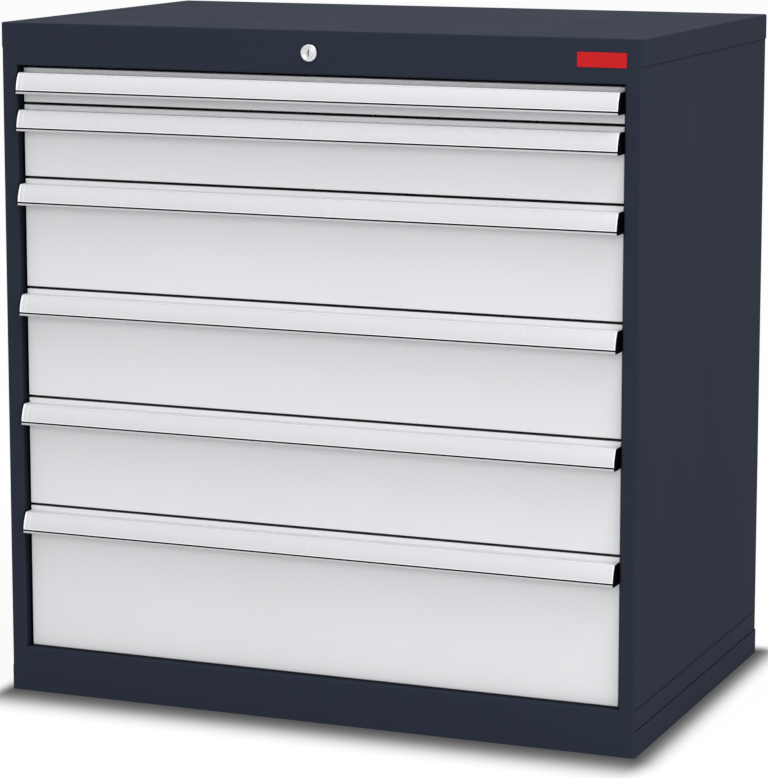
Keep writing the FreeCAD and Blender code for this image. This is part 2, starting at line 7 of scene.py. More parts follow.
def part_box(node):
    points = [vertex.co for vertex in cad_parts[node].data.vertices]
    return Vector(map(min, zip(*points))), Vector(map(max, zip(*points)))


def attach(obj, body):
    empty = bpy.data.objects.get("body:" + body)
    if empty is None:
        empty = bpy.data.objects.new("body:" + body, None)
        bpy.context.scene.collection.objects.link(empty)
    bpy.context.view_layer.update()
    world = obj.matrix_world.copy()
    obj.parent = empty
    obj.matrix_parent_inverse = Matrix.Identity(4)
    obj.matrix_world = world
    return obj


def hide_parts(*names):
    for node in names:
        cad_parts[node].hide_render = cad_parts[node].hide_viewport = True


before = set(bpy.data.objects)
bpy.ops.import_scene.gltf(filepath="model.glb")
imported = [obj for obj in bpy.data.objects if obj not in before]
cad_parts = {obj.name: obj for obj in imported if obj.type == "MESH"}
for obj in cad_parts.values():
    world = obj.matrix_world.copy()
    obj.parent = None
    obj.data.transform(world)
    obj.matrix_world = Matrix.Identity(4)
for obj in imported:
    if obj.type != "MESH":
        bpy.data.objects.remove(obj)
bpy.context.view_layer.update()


# Camera. It stands to the right of the cabinet, a little above its lid and over four metres off.
# The long lens keeps the uprights parallel, and the frame is shifted, not tilted further.

camera_place = Vector((1.63167, -4.03250, 1.18103))
camera_yaw, camera_pitch, camera_roll = (math.radians(angle) for angle in (21.687, 8.750, 0.070))

forward = Vector((-math.sin(camera_yaw) * math.cos(camera_pitch),
                  math.cos(camera_yaw) * math.cos(camera_pitch), -math.sin(camera_pitch)))
level_right = Vector((math.cos(camera_yaw), math.sin(camera_yaw), 0.0))
level_up = level_right.cross(forward)
right = level_right * math.cos(camera_roll) + level_up * math.sin(camera_roll)
up = level_up * math.cos(camera_roll) - level_right * math.sin(camera_roll)

camera = bpy.data.objects.new("camera", bpy.data.cameras.new("camera"))
camera.matrix_world = Matrix((right, up, -forward)).transposed().to_4x4()
camera.matrix_world.translation = camera_place
camera.data.sensor_width = 36.0
camera.data.lens = 146.78
camera.data.shift_x = -0.03298
camera.data.shift_y = -0.09819
camera.data.clip_end = 200.0
bpy.context.scene.collection.objects.link(camera)
bpy.context.scene.camera = camera


# Studio. A white floor that runs into a white background, under an even sky.
# One wide soft lamp hangs above and in front; a soft shadow is painted on the floor round the plinth, set by position,
# not cast.

def add(tree, kind, links=(), **settings):
    """Adds a node with these settings; links maps its inputs to sockets or plain values."""
    node = tree.nodes.new(kind)
    for name, value in settings.items():
        setattr(node, name, value)
    for name, value in dict(links).items():
        if isinstance(value, bpy.types.NodeSocket):
            tree.links.new(value, node.inputs[name])
        else:
            node.inputs[name].default_value = value
    return node


def sums(tree, operation, first, second=0.0, clamp=False):
    """A maths node's result."""
    return add(tree, "ShaderNodeMath", {0: first, 1: second}, operation=operation, use_clamp=clamp).outputs[0]


def ramp(tree, value, stops):
    """A colour ramp over (place, colour) stops."""
    node = add(tree, "ShaderNodeValToRGB", {"Fac": value})
    elements = node.color_ramp.elements
    elements[0].position, elements[1].position = stops[0][0], stops[-1][0]
    for place, colour in stops[1:-1]:
        elements.new(place)
    for element, (place, colour) in zip(elements, stops):
        element.color = (*colour, 1.0)
    return node.outputs["Color"]


def blend(tree, factor, first, second):
    """Mixes two colours."""
    node = add(tree, "ShaderNodeMix", data_type="RGBA")
    for socket, value in ((node.inputs[0], factor), (node.inputs[6], first), (node.inputs[7], second)):
        if isinstance(value, bpy.types.NodeSocket):
            tree.links.new(value, socket)
        else:
            socket.default_value = value if isinstance(value, float) else (*value, 1.0)
    return node.outputs[2]


def seen_ray(tree):
    """One for rays that see the background: from the camera, in a reflection or through glass."""
    path = add(tree, "ShaderNodeLightPath")
    mirrored = sums(tree, "MAXIMUM", path.outputs["Is Glossy Ray"], path.outputs["Is Transmission Ray"])
    return sums(tree, "MAXIMUM", path.outputs["Is Camera Ray"], mirrored)


sky = bpy.data.worlds.new("studio_sky")
sky.use_nodes = True
sky.node_tree.nodes.clear()
sky_light = add(sky.node_tree, "ShaderNodeBackground", {"Color": (0.98, 0.99, 1.0, 1.0), "Strength": 0.75})
sky_seen = add(sky.node_tree, "ShaderNodeBackground", {"Color": (1.0, 1.0, 1.0, 1.0), "Strength": 1.0})
sky_mix = add(sky.node_tree, "ShaderNodeMixShader",
              {0: seen_ray(sky.node_tree), 1: sky_light.outputs[0], 2: sky_seen.outputs[0]})
add(sky.node_tree, "ShaderNodeOutputWorld", {"Surface": sky_mix.outputs[0]})
bpy.context.scene.world = sky

floor_mesh = bpy.data.meshes.new("studio_floor")
floor_reach = 40.0
floor_mesh.from_pydata([(x * floor_reach, y * floor_reach, -0.0003) for x, y in ((-1, -1), (1, -1), (1, 1), (-1, 1))],
                       [], [(0, 1, 2, 3)])
studio_floor = bpy.data.objects.new("studio_floor", floor_mesh)
bpy.context.scene.collection.objects.link(studio_floor)

floor_paint = bpy.data.materials.new("studio_floor")
floor_paint.use_nodes = True
floor_tree = floor_paint.node_tree
floor_tree.nodes.clear()

# The painted shadow round the plinth: how far a floor point lies outside the foot, in reaches of the shadow.
foot_low, foot_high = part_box("plinth_frame")
floor_place = add(floor_tree, "ShaderNodeSeparateXYZ", {"Vector": add(floor_tree, "ShaderNodeTexCoord").outputs["Object"]}).outputs
shade_right, shade_left, shade_front, shade_back = 0.0485, 0.036, 0.115, 0.0485
left_start = 0.006


def beyond(tree, value, edge, reach):
    """How far a value lies past an edge, as a share of the reach; its sign says which way."""
    return sums(tree, "DIVIDE", sums(tree, "SUBTRACT", value, edge), reach)


past_side = sums(floor_tree, "MAXIMUM", beyond(floor_tree, floor_place["X"], foot_high.x, shade_right),
                 beyond(floor_tree, floor_place["X"], foot_low.x + left_start, -shade_left))
past_end = sums(floor_tree, "MAXIMUM", beyond(floor_tree, floor_place["Y"], foot_high.y, shade_back),
                beyond(floor_tree, floor_place["Y"], foot_low.y, -shade_front))
past = [sums(floor_tree, "POWER", sums(floor_tree, "MAXIMUM", way, 0.0), 2.0) for way in (past_side, past_end)]
floor_past = sums(floor_tree, "SQRT", sums(floor_tree, "ADD", *past))
floor_steps = [(0.0, 0.100), (0.08, 0.122), (0.155, 0.156), (0.23, 0.209), (0.31, 0.279), (0.385, 0.381), (0.46, 0.491),
               (0.54, 0.604), (0.615, 0.725), (0.69, 0.807), (0.77, 0.888), (0.85, 0.939), (0.92, 0.973), (1.05, 1.0)]
painted_floor_shadow = ramp(floor_tree, floor_past, [(at, (grey, grey, grey * 1.01 if grey < 0.99 else 1.0)) for at, grey in floor_steps])
floor_glow = add(floor_tree, "ShaderNodeEmission", {"Color": painted_floor_shadow, "Strength": 0.91})
floor_matt = blend(floor_tree, 0.92, painted_floor_shadow, (0.0, 0.0, 0.0))
floor_lit = add(floor_tree, "ShaderNodeBsdfDiffuse", {"Color": floor_matt})
floor_shown = add(floor_tree, "ShaderNodeAddShader", {0: floor_glow.outputs[0], 1: floor_lit.outputs[0]})
floor_bounce = add(floor_tree, "ShaderNodeBsdfDiffuse", {"Color": (0.60, 0.60, 0.60, 1.0)})
floor_mix = add(floor_tree, "ShaderNodeMixShader",
                {0: seen_ray(floor_tree), 1: floor_bounce.outputs[0], 2: floor_shown.outputs[0]})
add(floor_tree, "ShaderNodeOutputMaterial", {"Surface": floor_mix.outputs[0]})
floor_mesh.materials.append(floor_paint)


def soft_lamp(name, place, aim, width, depth, watts):
    """A wide flat lamp that hangs at a place and faces a point."""
    light = bpy.data.lights.new(name, "AREA")
    light.shape = "RECTANGLE"
    light.size, light.size_y, light.energy = width, depth, watts
    lamp = bpy.data.objects.new(name, light)
    lamp.location = place
    lamp.rotation_euler = (Vector(aim) - Vector(place)).to_track_quat("-Z", "Y").to_euler()
    bpy.context.scene.collection.objects.link(lamp)


soft_lamp("overhead_lamp", (3.2, -1.3, 5.87), (0.0, 0.0, 0.45), 3.6, 3.6, 280.0)
soft_lamp("front_lamp", (1.5, -5.6, 2.1), (0.0, 0.0, 0.45), 3.0, 2.5, 86.0)


# Plinth. A ring of bent sheet that the cabinet stands on: skirt strips mitred and welded at the
# corners, foot strips inside them, and the rail under the lowest drawer. Powder coated anthracite.

def effect(name, inputs, outputs):
    """Starts a shader node group; returns its tree, its inputs and its output node."""
    tree = bpy.data.node_groups.new(name, "ShaderNodeTree")
    for socket, kind, value in inputs:
        made = tree.interface.new_socket(socket, in_out="INPUT", socket_type="NodeSocket" + kind)
        made.default_value = value
    for socket, kind in outputs:
        tree.interface.new_socket(socket, in_out="OUTPUT", socket_type="NodeSocket" + kind)
    return tree, tree.nodes.new("NodeGroupInput").outputs, tree.nodes.new("NodeGroupOutput")


def use(tree, group, **values):
    """Places a shader group in a material with its own values."""
    node = add(tree, "ShaderNodeGroup", node_tree=group)
    for name, value in values.items():
        node.inputs[name.replace("_", " ").capitalize()].default_value = value
    return node.outputs


# Powder grain: the fine orange peel of a baked powder coat, and its slow drift of tone.
powder_grain, g_in, g_out = effect("powder_grain", [("Scale", "Float", 900.0)], [("Height", "Float"), ("Drift", "Float")])
g_place = add(powder_grain, "ShaderNodeTexCoord").outputs["Object"]
g_peel = add(powder_grain, "ShaderNodeTexNoise", {"Vector": g_place, "Scale": g_in["Scale"], "Detail": 2.0, "Roughness": 0.55})
g_speck = add(powder_grain, "ShaderNodeTexVoronoi", {"Vector": g_place, "Scale": g_in["Scale"]}, feature="SMOOTH_F1")
g_drift = add(powder_grain, "ShaderNodeTexNoise", {"Vector": g_place, "Scale": 3.5, "Detail": 3.0, "Roughness": 0.5})
powder_grain.links.new(sums(powder_grain, "ADD", g_peel.outputs["Fac"], sums(powder_grain, "MULTIPLY", g_speck.outputs["Distance"], 0.4)),
                       g_out.inputs["Height"])
powder_grain.links.new(g_drift.outputs["Fac"], g_out.inputs["Drift"])

# Crevices: painted shade in tight gaps and inner corners, darker the closer the next surface lies, up to a reach.
# Below about two centimetres it fades out, so the floor beside the plinth adds no painted shade there.
crevice, c_in, c_out = effect("crevice", [("Reach", "Float", 0.014), ("Open", "Float", 0.9), ("Tight", "Float", 0.5), ("Amount", "Float", 0.8)],
                              [("Mask", "Float")])
c_open = add(crevice, "ShaderNodeAmbientOcclusion", {"Distance": c_in["Reach"]}, samples=12).outputs["AO"]
c_tight = add(crevice, "ShaderNodeMapRange", {"Value": c_open, "From Min": c_in["Open"], "From Max": c_in["Tight"]}).outputs[0]
c_place = add(crevice, "ShaderNodeTexCoord").outputs["Object"]
c_height = add(crevice, "ShaderNodeSeparateXYZ", {"Vector": c_place}).outputs["Z"]
c_off_floor = add(crevice, "ShaderNodeMapRange", {"Value": c_height, "From Min": 0.014, "From Max": 0.024}).outputs[0]
c_painted_shade = sums(crevice, "MULTIPLY", sums(crevice, "MULTIPLY", c_tight, c_off_floor), c_in["Amount"])
crevice.links.new(c_painted_shade, c_out.inputs["Mask"])

# Edge wear: bends and cut edges where hands and tools have polished the coat thin, in patches; Evenness spreads it
# evenly along every edge as a painted highlight.
edge_wear, w_in, w_out = effect("edge_wear", [("Reach", "Float", 0.0012), ("Amount", "Float", 0.5), ("Evenness", "Float", 0.0)],
                                [("Mask", "Float")])
w_round = add(edge_wear, "ShaderNodeBevel", {"Radius": w_in["Reach"]}, samples=6)
w_flat = add(edge_wear, "ShaderNodeNewGeometry")
w_match = add(edge_wear, "ShaderNodeVectorMath", {0: w_round.outputs[0], 1: w_flat.outputs["Normal"]}, operation="DOT_PRODUCT")
w_edge = sums(edge_wear, "MULTIPLY", sums(edge_wear, "SUBTRACT", 1.0, w_match.outputs["Value"]), 5.0, clamp=True)
w_place = add(edge_wear, "ShaderNodeTexCoord").outputs["Object"]
w_patch = add(edge_wear, "ShaderNodeTexNoise", {"Vector": w_place, "Scale": 60.0, "Detail": 5.0, "Roughness": 0.65})
w_worn = add(edge_wear, "ShaderNodeMapRange", {"Value": w_patch.outputs["Fac"], "From Min": 0.42, "From Max": 0.66}).outputs[0]
w_worn = sums(edge_wear, "MAXIMUM", w_worn, w_in["Evenness"])
edge_wear.links.new(sums(edge_wear, "MULTIPLY", sums(edge_wear, "MULTIPLY", w_edge, w_worn), w_in["Amount"]), w_out.inputs["Mask"])

# Handling haze: the faint cloudy sheen left by wiping and by hands.
handling_haze, h_in, h_out = effect("handling_haze", [("Scale", "Float", 7.0)], [("Haze", "Float")])
h_place = add(handling_haze, "ShaderNodeTexCoord").outputs["Object"]
h_stretch = add(handling_haze, "ShaderNodeMapping", {"Vector": h_place, "Scale": (1.0, 1.0, 0.45)})
h_cloud = add(handling_haze, "ShaderNodeTexNoise", {"Vector": h_stretch.outputs[0], "Scale": h_in["Scale"], "Detail": 4.0, "Distortion": 0.6})
h_clear = add(handling_haze, "ShaderNodeMapRange", {"Value": h_cloud.outputs["Fac"], "From Min": 0.35, "From Max": 0.7})
handling_haze.links.new(h_clear.outputs[0], h_out.inputs["Haze"])


# Opening shade: the rail's top and the stiles' inner faces darken from their bends back to the drawers.
casing_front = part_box("plinth_frame")[0].y
opening_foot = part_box("plinth_frame")[1].z
opening_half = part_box("right_side_wall")[0].x
opening_shade, r_in, r_out = effect("opening_shade", [("Rail", "Float", 0.62), ("Stiles", "Float", 0.45)], [("Mask", "Float")])
r_object = add(opening_shade, "ShaderNodeTexCoord").outputs["Object"]
r_place = add(opening_shade, "ShaderNodeSeparateXYZ", {"Vector": r_object}).outputs
r_back = add(opening_shade, "ShaderNodeMapRange",
             {"Value": r_place["Y"], "From Min": casing_front + 0.0005, "From Max": casing_front + 0.006}).outputs[0]


def near(tree, value, plane, strength):
    """The strength where a value is within half a millimetre of a plane, and nothing past two."""
    away = sums(tree, "ABSOLUTE", sums(tree, "SUBTRACT", value, plane))
    level = add(tree, "ShaderNodeMapRange", {"Value": away, "From Min": 0.0022, "From Max": 0.0004}).outputs[0]
    return sums(tree, "MULTIPLY", level, strength)


r_rail = near(opening_shade, r_place["Z"], opening_foot, r_in["Rail"])
r_stiles = near(opening_shade, sums(opening_shade, "ABSOLUTE", r_place["X"]), opening_half, r_in["Stiles"])
r_mask = sums(opening_shade, "MULTIPLY", sums(opening_shade, "MAXIMUM", r_rail, r_stiles), r_back)
opening_shade.links.new(r_mask, r_out.inputs["Mask"])


def material_base(name):
    """A new material with a bare Principled shader; returns the material, its tree and the shader."""
    made = bpy.data.materials.new(name)
    made.use_nodes = True
    made.node_tree.nodes.clear()
    shader = add(made.node_tree, "ShaderNodeBsdfPrincipled")
    add(made.node_tree, "ShaderNodeOutputMaterial", {"Surface": shader.outputs[0]})
    return made, made.node_tree, shader


def powder_coat(name, colour, wear_and_highlight_colour, roughness, specular, grain_scale, grain_relief, wear, evenness=0.0, creases=(0.50, 0.20, 0.014)):
    """Baked powder coat on steel sheet; creases are the open end, tight end and reach of its painted crevice shade."""
    made, tree, shader = material_base(name)
    grain = use(tree, powder_grain, scale=grain_scale)
    worn = use(tree, edge_wear, reach=0.0014, amount=wear, evenness=evenness)["Mask"]
    haze = use(tree, handling_haze, scale=7.0)["Haze"]
    # Painted shade: tight gaps and the opening's recesses darken the colour towards three hundredths of itself.
    shaded = use(tree, crevice, reach=creases[2], open=creases[0], tight=creases[1], amount=0.86)["Mask"]
    shaded = sums(tree, "MAXIMUM", shaded, use(tree, opening_shade)["Mask"])
    drifted = blend(tree, grain["Drift"], [c * 0.965 for c in colour], [c * 1.035 for c in colour])
    # The worn colour on the edges is partly wear and partly a painted highlight.
    toned = blend(tree, worn, drifted, wear_and_highlight_colour)
    tree.links.new(blend(tree, shaded, toned, [c * 0.03 for c in colour]), shader.inputs["Base Color"])
    rough = sums(tree, "ADD", roughness - 0.03, sums(tree, "MULTIPLY", haze, 0.06))
    tree.links.new(sums(tree, "SUBTRACT", rough, sums(tree, "MULTIPLY", worn, 0.12), clamp=True), shader.inputs["Roughness"])
    bump = add(tree, "ShaderNodeBump", {"Height": grain["Height"], "Strength": 1.0, "Distance": grain_relief})
    tree.links.new(bump.outputs[0], shader.inputs["Normal"])
    shader.inputs["Specular IOR Level"].default_value = specular
    return made


casing_coat = powder_coat("casing_paint", (0.0225, 0.0280, 0.0425), (0.048, 0.055, 0.071), 0.74, 0.02, 1100.0, 0.00006, 0.4, creases=(0.90, 0.50, 0.006))


def merged(shape):
    """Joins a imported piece's loose triangles, and takes out the faces where two of its parts meet."""
    bmesh.ops.remove_doubles(shape, verts=shape.verts, dist=2e-6)
    bmesh.ops.dissolve_limit(shape, angle_limit=math.radians(0.5), verts=shape.verts, edges=shape.edges)
    corners = {}
    for face in shape.faces:
        corners.setdefault(frozenset(face.verts), []).append(face)
    meeting = [face for faces in corners.values() if len(faces) > 1 for face in faces]
    bmesh.ops.delete(shape, geom=meeting, context="FACES")
    bmesh.ops.dissolve_limit(shape, angle_limit=math.radians(0.5), verts=shape.verts, edges=shape.edges)


def dressed(node, name, body, material, smooth=35.0):
    """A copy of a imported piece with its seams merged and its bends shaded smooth; it stands for the piece."""
    shape = bmesh.new()
    shape.from_mesh(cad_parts[node].data)
    merged(shape)
    mesh = bpy.data.meshes.new(name)
    shape.to_mesh(mesh)
    shape.free()
    return fitted(name, mesh, body, material, [node], smooth)


def fitted(name, mesh, body, material, nodes, smooth=35.0):
    """Puts a finished mesh in the scene: its shading, material and place in the cabinet."""
    mesh.name = name
    mesh.materials.clear()
    mesh.materials.append(material)
    mesh.shade_smooth()
    mesh.set_sharp_from_angle(angle=math.radians(smooth))
    piece = bpy.data.objects.new(name, mesh)
    bpy.context.scene.collection.objects.link(piece)
    weighted = piece.modifiers.new("weighted", "WEIGHTED_NORMAL")
    weighted.keep_sharp = True
    settle(piece)
    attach(piece, body)
    if nodes:
        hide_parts(*nodes)
    return piece


def settle(piece):
    """Applies a piece's modifiers to its mesh."""
    bpy.context.view_layer.update()
    graph = bpy.context.evaluated_depsgraph_get()
    mesh = bpy.data.meshes.new_from_object(piece.evaluated_get(graph), preserve_all_data_layers=True, depsgraph=graph)
    mesh.name = piece.name
    piece.modifiers.clear()
    piece.data = mesh


def geometry_tree(name, inputs):
    """Starts a Geometry Nodes tree with named inputs; returns the tree, its inputs and its output node."""
    tree = bpy.data.node_groups.new(name, "GeometryNodeTree")
    tree.interface.new_socket("Geometry", in_out="INPUT", socket_type="NodeSocketGeometry")
    for socket, kind, value in inputs:
        made = tree.interface.new_socket(socket, in_out="INPUT", socket_type="NodeSocket" + kind)
        if value is not None:
            made.default_value = value
    tree.interface.new_socket("Geometry", in_out="OUTPUT", socket_type="NodeSocketGeometry")
    return tree, tree.nodes.new("NodeGroupInput").outputs, tree.nodes.new("NodeGroupOutput")


def grown(name, tree, values, start=None):
    """Runs a Geometry Nodes tree on a mesh and returns the plain mesh that it makes."""
    host = bpy.data.objects.new(name, start or bpy.data.meshes.new(name))
    bpy.context.scene.collection.objects.link(host)
    modifier = host.modifiers.new(name, "NODES")
    modifier.node_group = tree
    sockets = {item.name: item.identifier for item in tree.interface.items_tree if item.in_out == "INPUT"}
    for socket, value in values.items():
        modifier[sockets[socket]] = value
    bpy.context.view_layer.update()
    graph = bpy.context.evaluated_depsgraph_get()
    mesh = bpy.data.meshes.new_from_object(host.evaluated_get(graph), preserve_all_data_layers=True, depsgraph=graph)
    host.modifiers.clear()
    for used in [host] + [value for value in values.values() if isinstance(value, bpy.types.Object)]:
        bpy.data.objects.remove(used)
    return mesh


def pattern(name, mesh):
    """A piece that is never in the scene itself: Geometry Nodes copy it."""
    return bpy.data.objects.new(name, mesh)


def looped(name, rows):
    """A skin over rings of points that follow each other in a closed loop."""
    shape = bmesh.new()
    rings = [[shape.verts.new(point) for point in row] for row in rows]
    for number, near in enumerate(rings):
        far = rings[(number + 1) % len(rings)]
        for here in range(len(near)):
            after = (here + 1) % len(near)
            shape.faces.new((near[here], near[after], far[after], far[here]))
    bmesh.ops.recalc_face_normals(shape, faces=shape.faces)
    mesh = bpy.data.meshes.new(name)
    shape.to_mesh(mesh)
    shape.free()
    return mesh


# Sheets welded into one skin, with the sharp corner taken off along their bends.
sheet_weld, k_in, k_out = geometry_tree("sheet_weld", [("Bends", "Object", None), ("Finish", "Material", None)])
k_bends = add(sheet_weld, "GeometryNodeObjectInfo", {"Object": k_in["Bends"]}, transform_space="ORIGINAL")
k_skin = add(sheet_weld, "GeometryNodeMeshBoolean", {"Mesh 2": k_in["Geometry"], "Self Intersection": True},
             operation="UNION", solver="EXACT")
k_bent = add(sheet_weld, "GeometryNodeMeshBoolean", {"Mesh 1": k_skin.outputs["Mesh"], "Mesh 2": k_bends.outputs["Geometry"]},
             operation="DIFFERENCE", solver="EXACT")
k_done = add(sheet_weld, "GeometryNodeSetMaterial", {"Geometry": k_bent.outputs["Mesh"], "Material": k_in["Finish"]})
sheet_weld.links.new(k_done.outputs["Geometry"], k_out.inputs["Geometry"])

fascia_height = 0.057
opening_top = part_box("top_cover")[1].z - fascia_height
frame_bend, bend_steps, cutter_spare = 0.003, 5, 0.001


def frame_bends():
    """What the bends round the opening leave off a sharp edge: a closed ring, mitred in its corners."""
    section = [(-cutter_spare, -cutter_spare), (frame_bend, -cutter_spare)]
    for step in range(bend_steps + 1):
        turn = math.pi / 2 * (1 - step / bend_steps)
        section.append((frame_bend * (1 - math.cos(turn)), frame_bend * (1 - math.sin(turn))))
    section.append((-cutter_spare, frame_bend))
    rows = []
    for out, back in section:
        across, foot, head = opening_half + out, opening_foot - out, opening_top + out
        rows.append([(x, casing_front + back, z) for x, z in ((-across, foot), (across, foot), (across, head), (-across, head))])
    return looped("frame_bends", rows)


def swept(shape):
    """Takes out the stray faces that a union leaves inside a sheet: no edge of theirs lies on the skin."""
    strays = [face for face in shape.faces if all(len(edge.link_faces) != 2 for edge in face.edges)]
    while strays:
        bmesh.ops.delete(shape, geom=strays, context="FACES")
        strays = [face for face in shape.faces if all(len(edge.link_faces) != 2 for edge in face.edges)]


def folded(node, name):
    """A casing piece of folded sheet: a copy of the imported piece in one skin, with the opening's bends."""
    shape = bmesh.new()
    shape.from_mesh(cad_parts[node].data)
    bmesh.ops.remove_doubles(shape, verts=shape.verts, dist=2e-6)
    flat = bpy.data.meshes.new(name)
    shape.to_mesh(flat)
    shape.free()
    mesh = grown(name, sheet_weld, {"Bends": pattern("frame_bends", frame_bends()), "Finish": casing_coat}, flat)
    shape = bmesh.new()
    shape.from_mesh(mesh)
    merged(shape)
    swept(shape)
    shape.to_mesh(mesh)
    shape.free()
    return fitted(name, mesh, "casing", casing_coat, [node], 25.0)


folded("plinth_frame", "plinth_ring")


# Floor panel. An upside-down pan of 1.2 mm sheet with turned-down edges, stood on the foot strips.

folded("floor_panel", "floor_pan")


# Side walls. Each is one 1.2 mm sheet, folded in at the front as the stile beside the drawers
# and at the back for the panel, spot welded to the plinth and powder coated with it.

for side in ("left", "right"):
    folded(side + "_side_wall", side + "_wall")


# Back panel. A flat sheet between the rear folds, held by twelve screws.

dressed("back_panel", "back_sheet", "casing", casing_coat)


# Back screws. Zinc plated pan heads with a cross recess, six down each side.
# Geometry Nodes set one screw on each place.

def welded(name, rings, loop_closed=True, cap_start=True, cap_end=True):
    """A skin over rings of equally many points, with its ends capped and its faces outwards."""
    shape = bmesh.new()
    rows = [[shape.verts.new(point) for point in ring] for ring in rings]
    count = len(rows[0])
    for near, far in zip(rows, rows[1:]):
        for here in range(count if loop_closed else count - 1):
            after = (here + 1) % count
            shape.faces.new((near[here], near[after], far[after], far[here]))
    if cap_start:
        shape.faces.new(reversed(rows[0]))
    if cap_end:
        shape.faces.new(rows[-1])
    bmesh.ops.recalc_face_normals(shape, faces=shape.faces)
    mesh = bpy.data.meshes.new(name)
    shape.to_mesh(mesh)
    shape.free()
    return mesh


def circle(radius, along, axis="Y", sides=24, cross=0.0, centre=(0.0, 0.0, 0.0)):
    """A ring round an axis, at a distance along it; cross draws it in between four arms."""
    points = []
    for step in range(sides):
        turn = 2 * math.pi * step / sides
        reach = radius * (1.0 - cross * (0.5 - 0.5 * math.cos(4 * turn)) ** 0.6)
        a, b = reach * math.cos(turn), reach * math.sin(turn)
        point = {"X": (along, a, b), "Y": (a, along, b), "Z": (a, b, along)}[axis]
        points.append(Vector(point) + Vector(centre))
    return points


def islands(mesh):
    """The separate lumps of a mesh, as (lowest, highest) corners."""
    shape = bmesh.new()
    shape.from_mesh(mesh)
    bmesh.ops.remove_doubles(shape, verts=shape.verts, dist=2e-6)
    left, found = set(shape.verts), []
    while left:
        front = [left.pop()]
        lump = list(front)
        while front:
            for edge in front.pop().link_edges:
                for vert in edge.verts:
                    if vert in left:
                        left.discard(vert)
                        front.append(vert)
                        lump.append(vert)
        found.append((Vector([min(v.co[i] for v in lump) for i in range(3)]),
                      Vector([max(v.co[i] for v in lump) for i in range(3)])))
    shape.free()
    return found


def metal(name, colour, roughness, brush_scale, brush_stretch, relief, wear, coat=0.0, metallic=1.0, shade_attribute=None):
    """Metal with the fine lines of its rolling or brushing; shade_attribute names an attribute that marks a part
    darkened with painted shade.
    """
    made, tree, shader = material_base(name)
    place = add(tree, "ShaderNodeTexCoord").outputs["Object"]
    lay = add(tree, "ShaderNodeMapping", {"Vector": place, "Scale": brush_stretch})
    lines = add(tree, "ShaderNodeTexNoise", {"Vector": lay.outputs[0], "Scale": brush_scale, "Detail": 4.0, "Roughness": 0.6}).outputs["Fac"]
    haze = use(tree, handling_haze, scale=11.0)["Haze"]
    worn = use(tree, edge_wear, reach=0.0008, amount=wear)["Mask"]
    toned = blend(tree, lines, [c * 0.90 for c in colour], [min(1.0, c * 1.06) for c in colour])
    if shade_attribute:
        # Painted shade: the part that the attribute marks darkens to 0.72 of the colour.
        painted_part_shade = add(tree, "ShaderNodeAttribute", attribute_name=shade_attribute).outputs["Fac"]
        toned = blend(tree, painted_part_shade, toned, [c * 0.72 for c in colour])
    tree.links.new(blend(tree, worn, toned, [min(1.0, c * 1.2) for c in colour]), shader.inputs["Base Color"])
    shader.inputs["Metallic"].default_value = metallic
    shader.inputs["Coat Weight"].default_value = coat
    rough = sums(tree, "ADD", roughness - 0.05, sums(tree, "MULTIPLY", lines, 0.10))
    tree.links.new(sums(tree, "ADD", rough, sums(tree, "MULTIPLY", haze, 0.07), clamp=True), shader.inputs["Roughness"])
    bump = add(tree, "ShaderNodeBump", {"Height": lines, "Strength": 1.0, "Distance": relief})
    tree.links.new(bump.outputs[0], shader.inputs["Normal"])
    return made


zinc_plate = metal("slide_steel", (0.55, 0.56, 0.58), 0.42, 260.0, (1.0, 0.06, 1.0), 0.00002, 0.4)


def points_mesh(name, places):
    """Loose points, for Geometry Nodes to set pieces on."""
    mesh = bpy.data.meshes.new(name)
    mesh.from_pydata([tuple(place) for place in places], [], [])
    return mesh


# One piece on each point of the mesh.
set_out, s_in, s_out = geometry_tree("set_out", [("Piece", "Object", None), ("Finish", "Material", None)])
s_piece = add(set_out, "GeometryNodeObjectInfo", {"Object": s_in["Piece"]}, transform_space="ORIGINAL")
s_copies = add(set_out, "GeometryNodeInstanceOnPoints", {"Points": s_in["Geometry"], "Instance": s_piece.outputs["Geometry"]})
s_real = add(set_out, "GeometryNodeRealizeInstances", {"Geometry": s_copies.outputs["Instances"]})
s_done = add(set_out, "GeometryNodeSetMaterial", {"Geometry": s_real.outputs["Geometry"], "Material": s_in["Finish"]})
set_out.links.new(s_done.outputs["Geometry"], s_out.inputs["Geometry"])

head_radius, head_height, shank_radius, shank_length = 0.0040, 0.0012, 0.0019, 0.0080
recess_reach, recess_depth = 0.0021, 0.0009
screw_rings = [circle(shank_radius * 0.6, -shank_length), circle(shank_radius, -shank_length * 0.85), circle(shank_radius, 0.0),
               circle(head_radius, 0.0), circle(head_radius, head_height * 0.45), circle(head_radius * 0.92, head_height * 0.78),
               circle(head_radius * 0.72, head_height * 0.97), circle(recess_reach * 1.1, head_height), circle(recess_reach, head_height, cross=0.55),
               circle(recess_reach * 0.85, head_height - recess_depth, cross=0.55)]
screw_mesh = welded("screw", screw_rings)
back_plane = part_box("back_panel")[1].y
screw_places = [((low.x + high.x) / 2, back_plane, (low.z + high.z) / 2) for low, high in islands(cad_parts["back_screws"].data)]
screws = grown("back_panel_screws", set_out, {"Piece": pattern("screw", screw_mesh), "Finish": zinc_plate},
               points_mesh("screw_places", screw_places))
fitted("back_panel_screws", screws, "casing", zinc_plate, ["back_screws"])


# Uprights. Channels of 1.5 mm sheet with a ladder of punched square holes that the slides hook into.
# Geometry Nodes punch the holes; the corners of each hole are rounded by the punch.

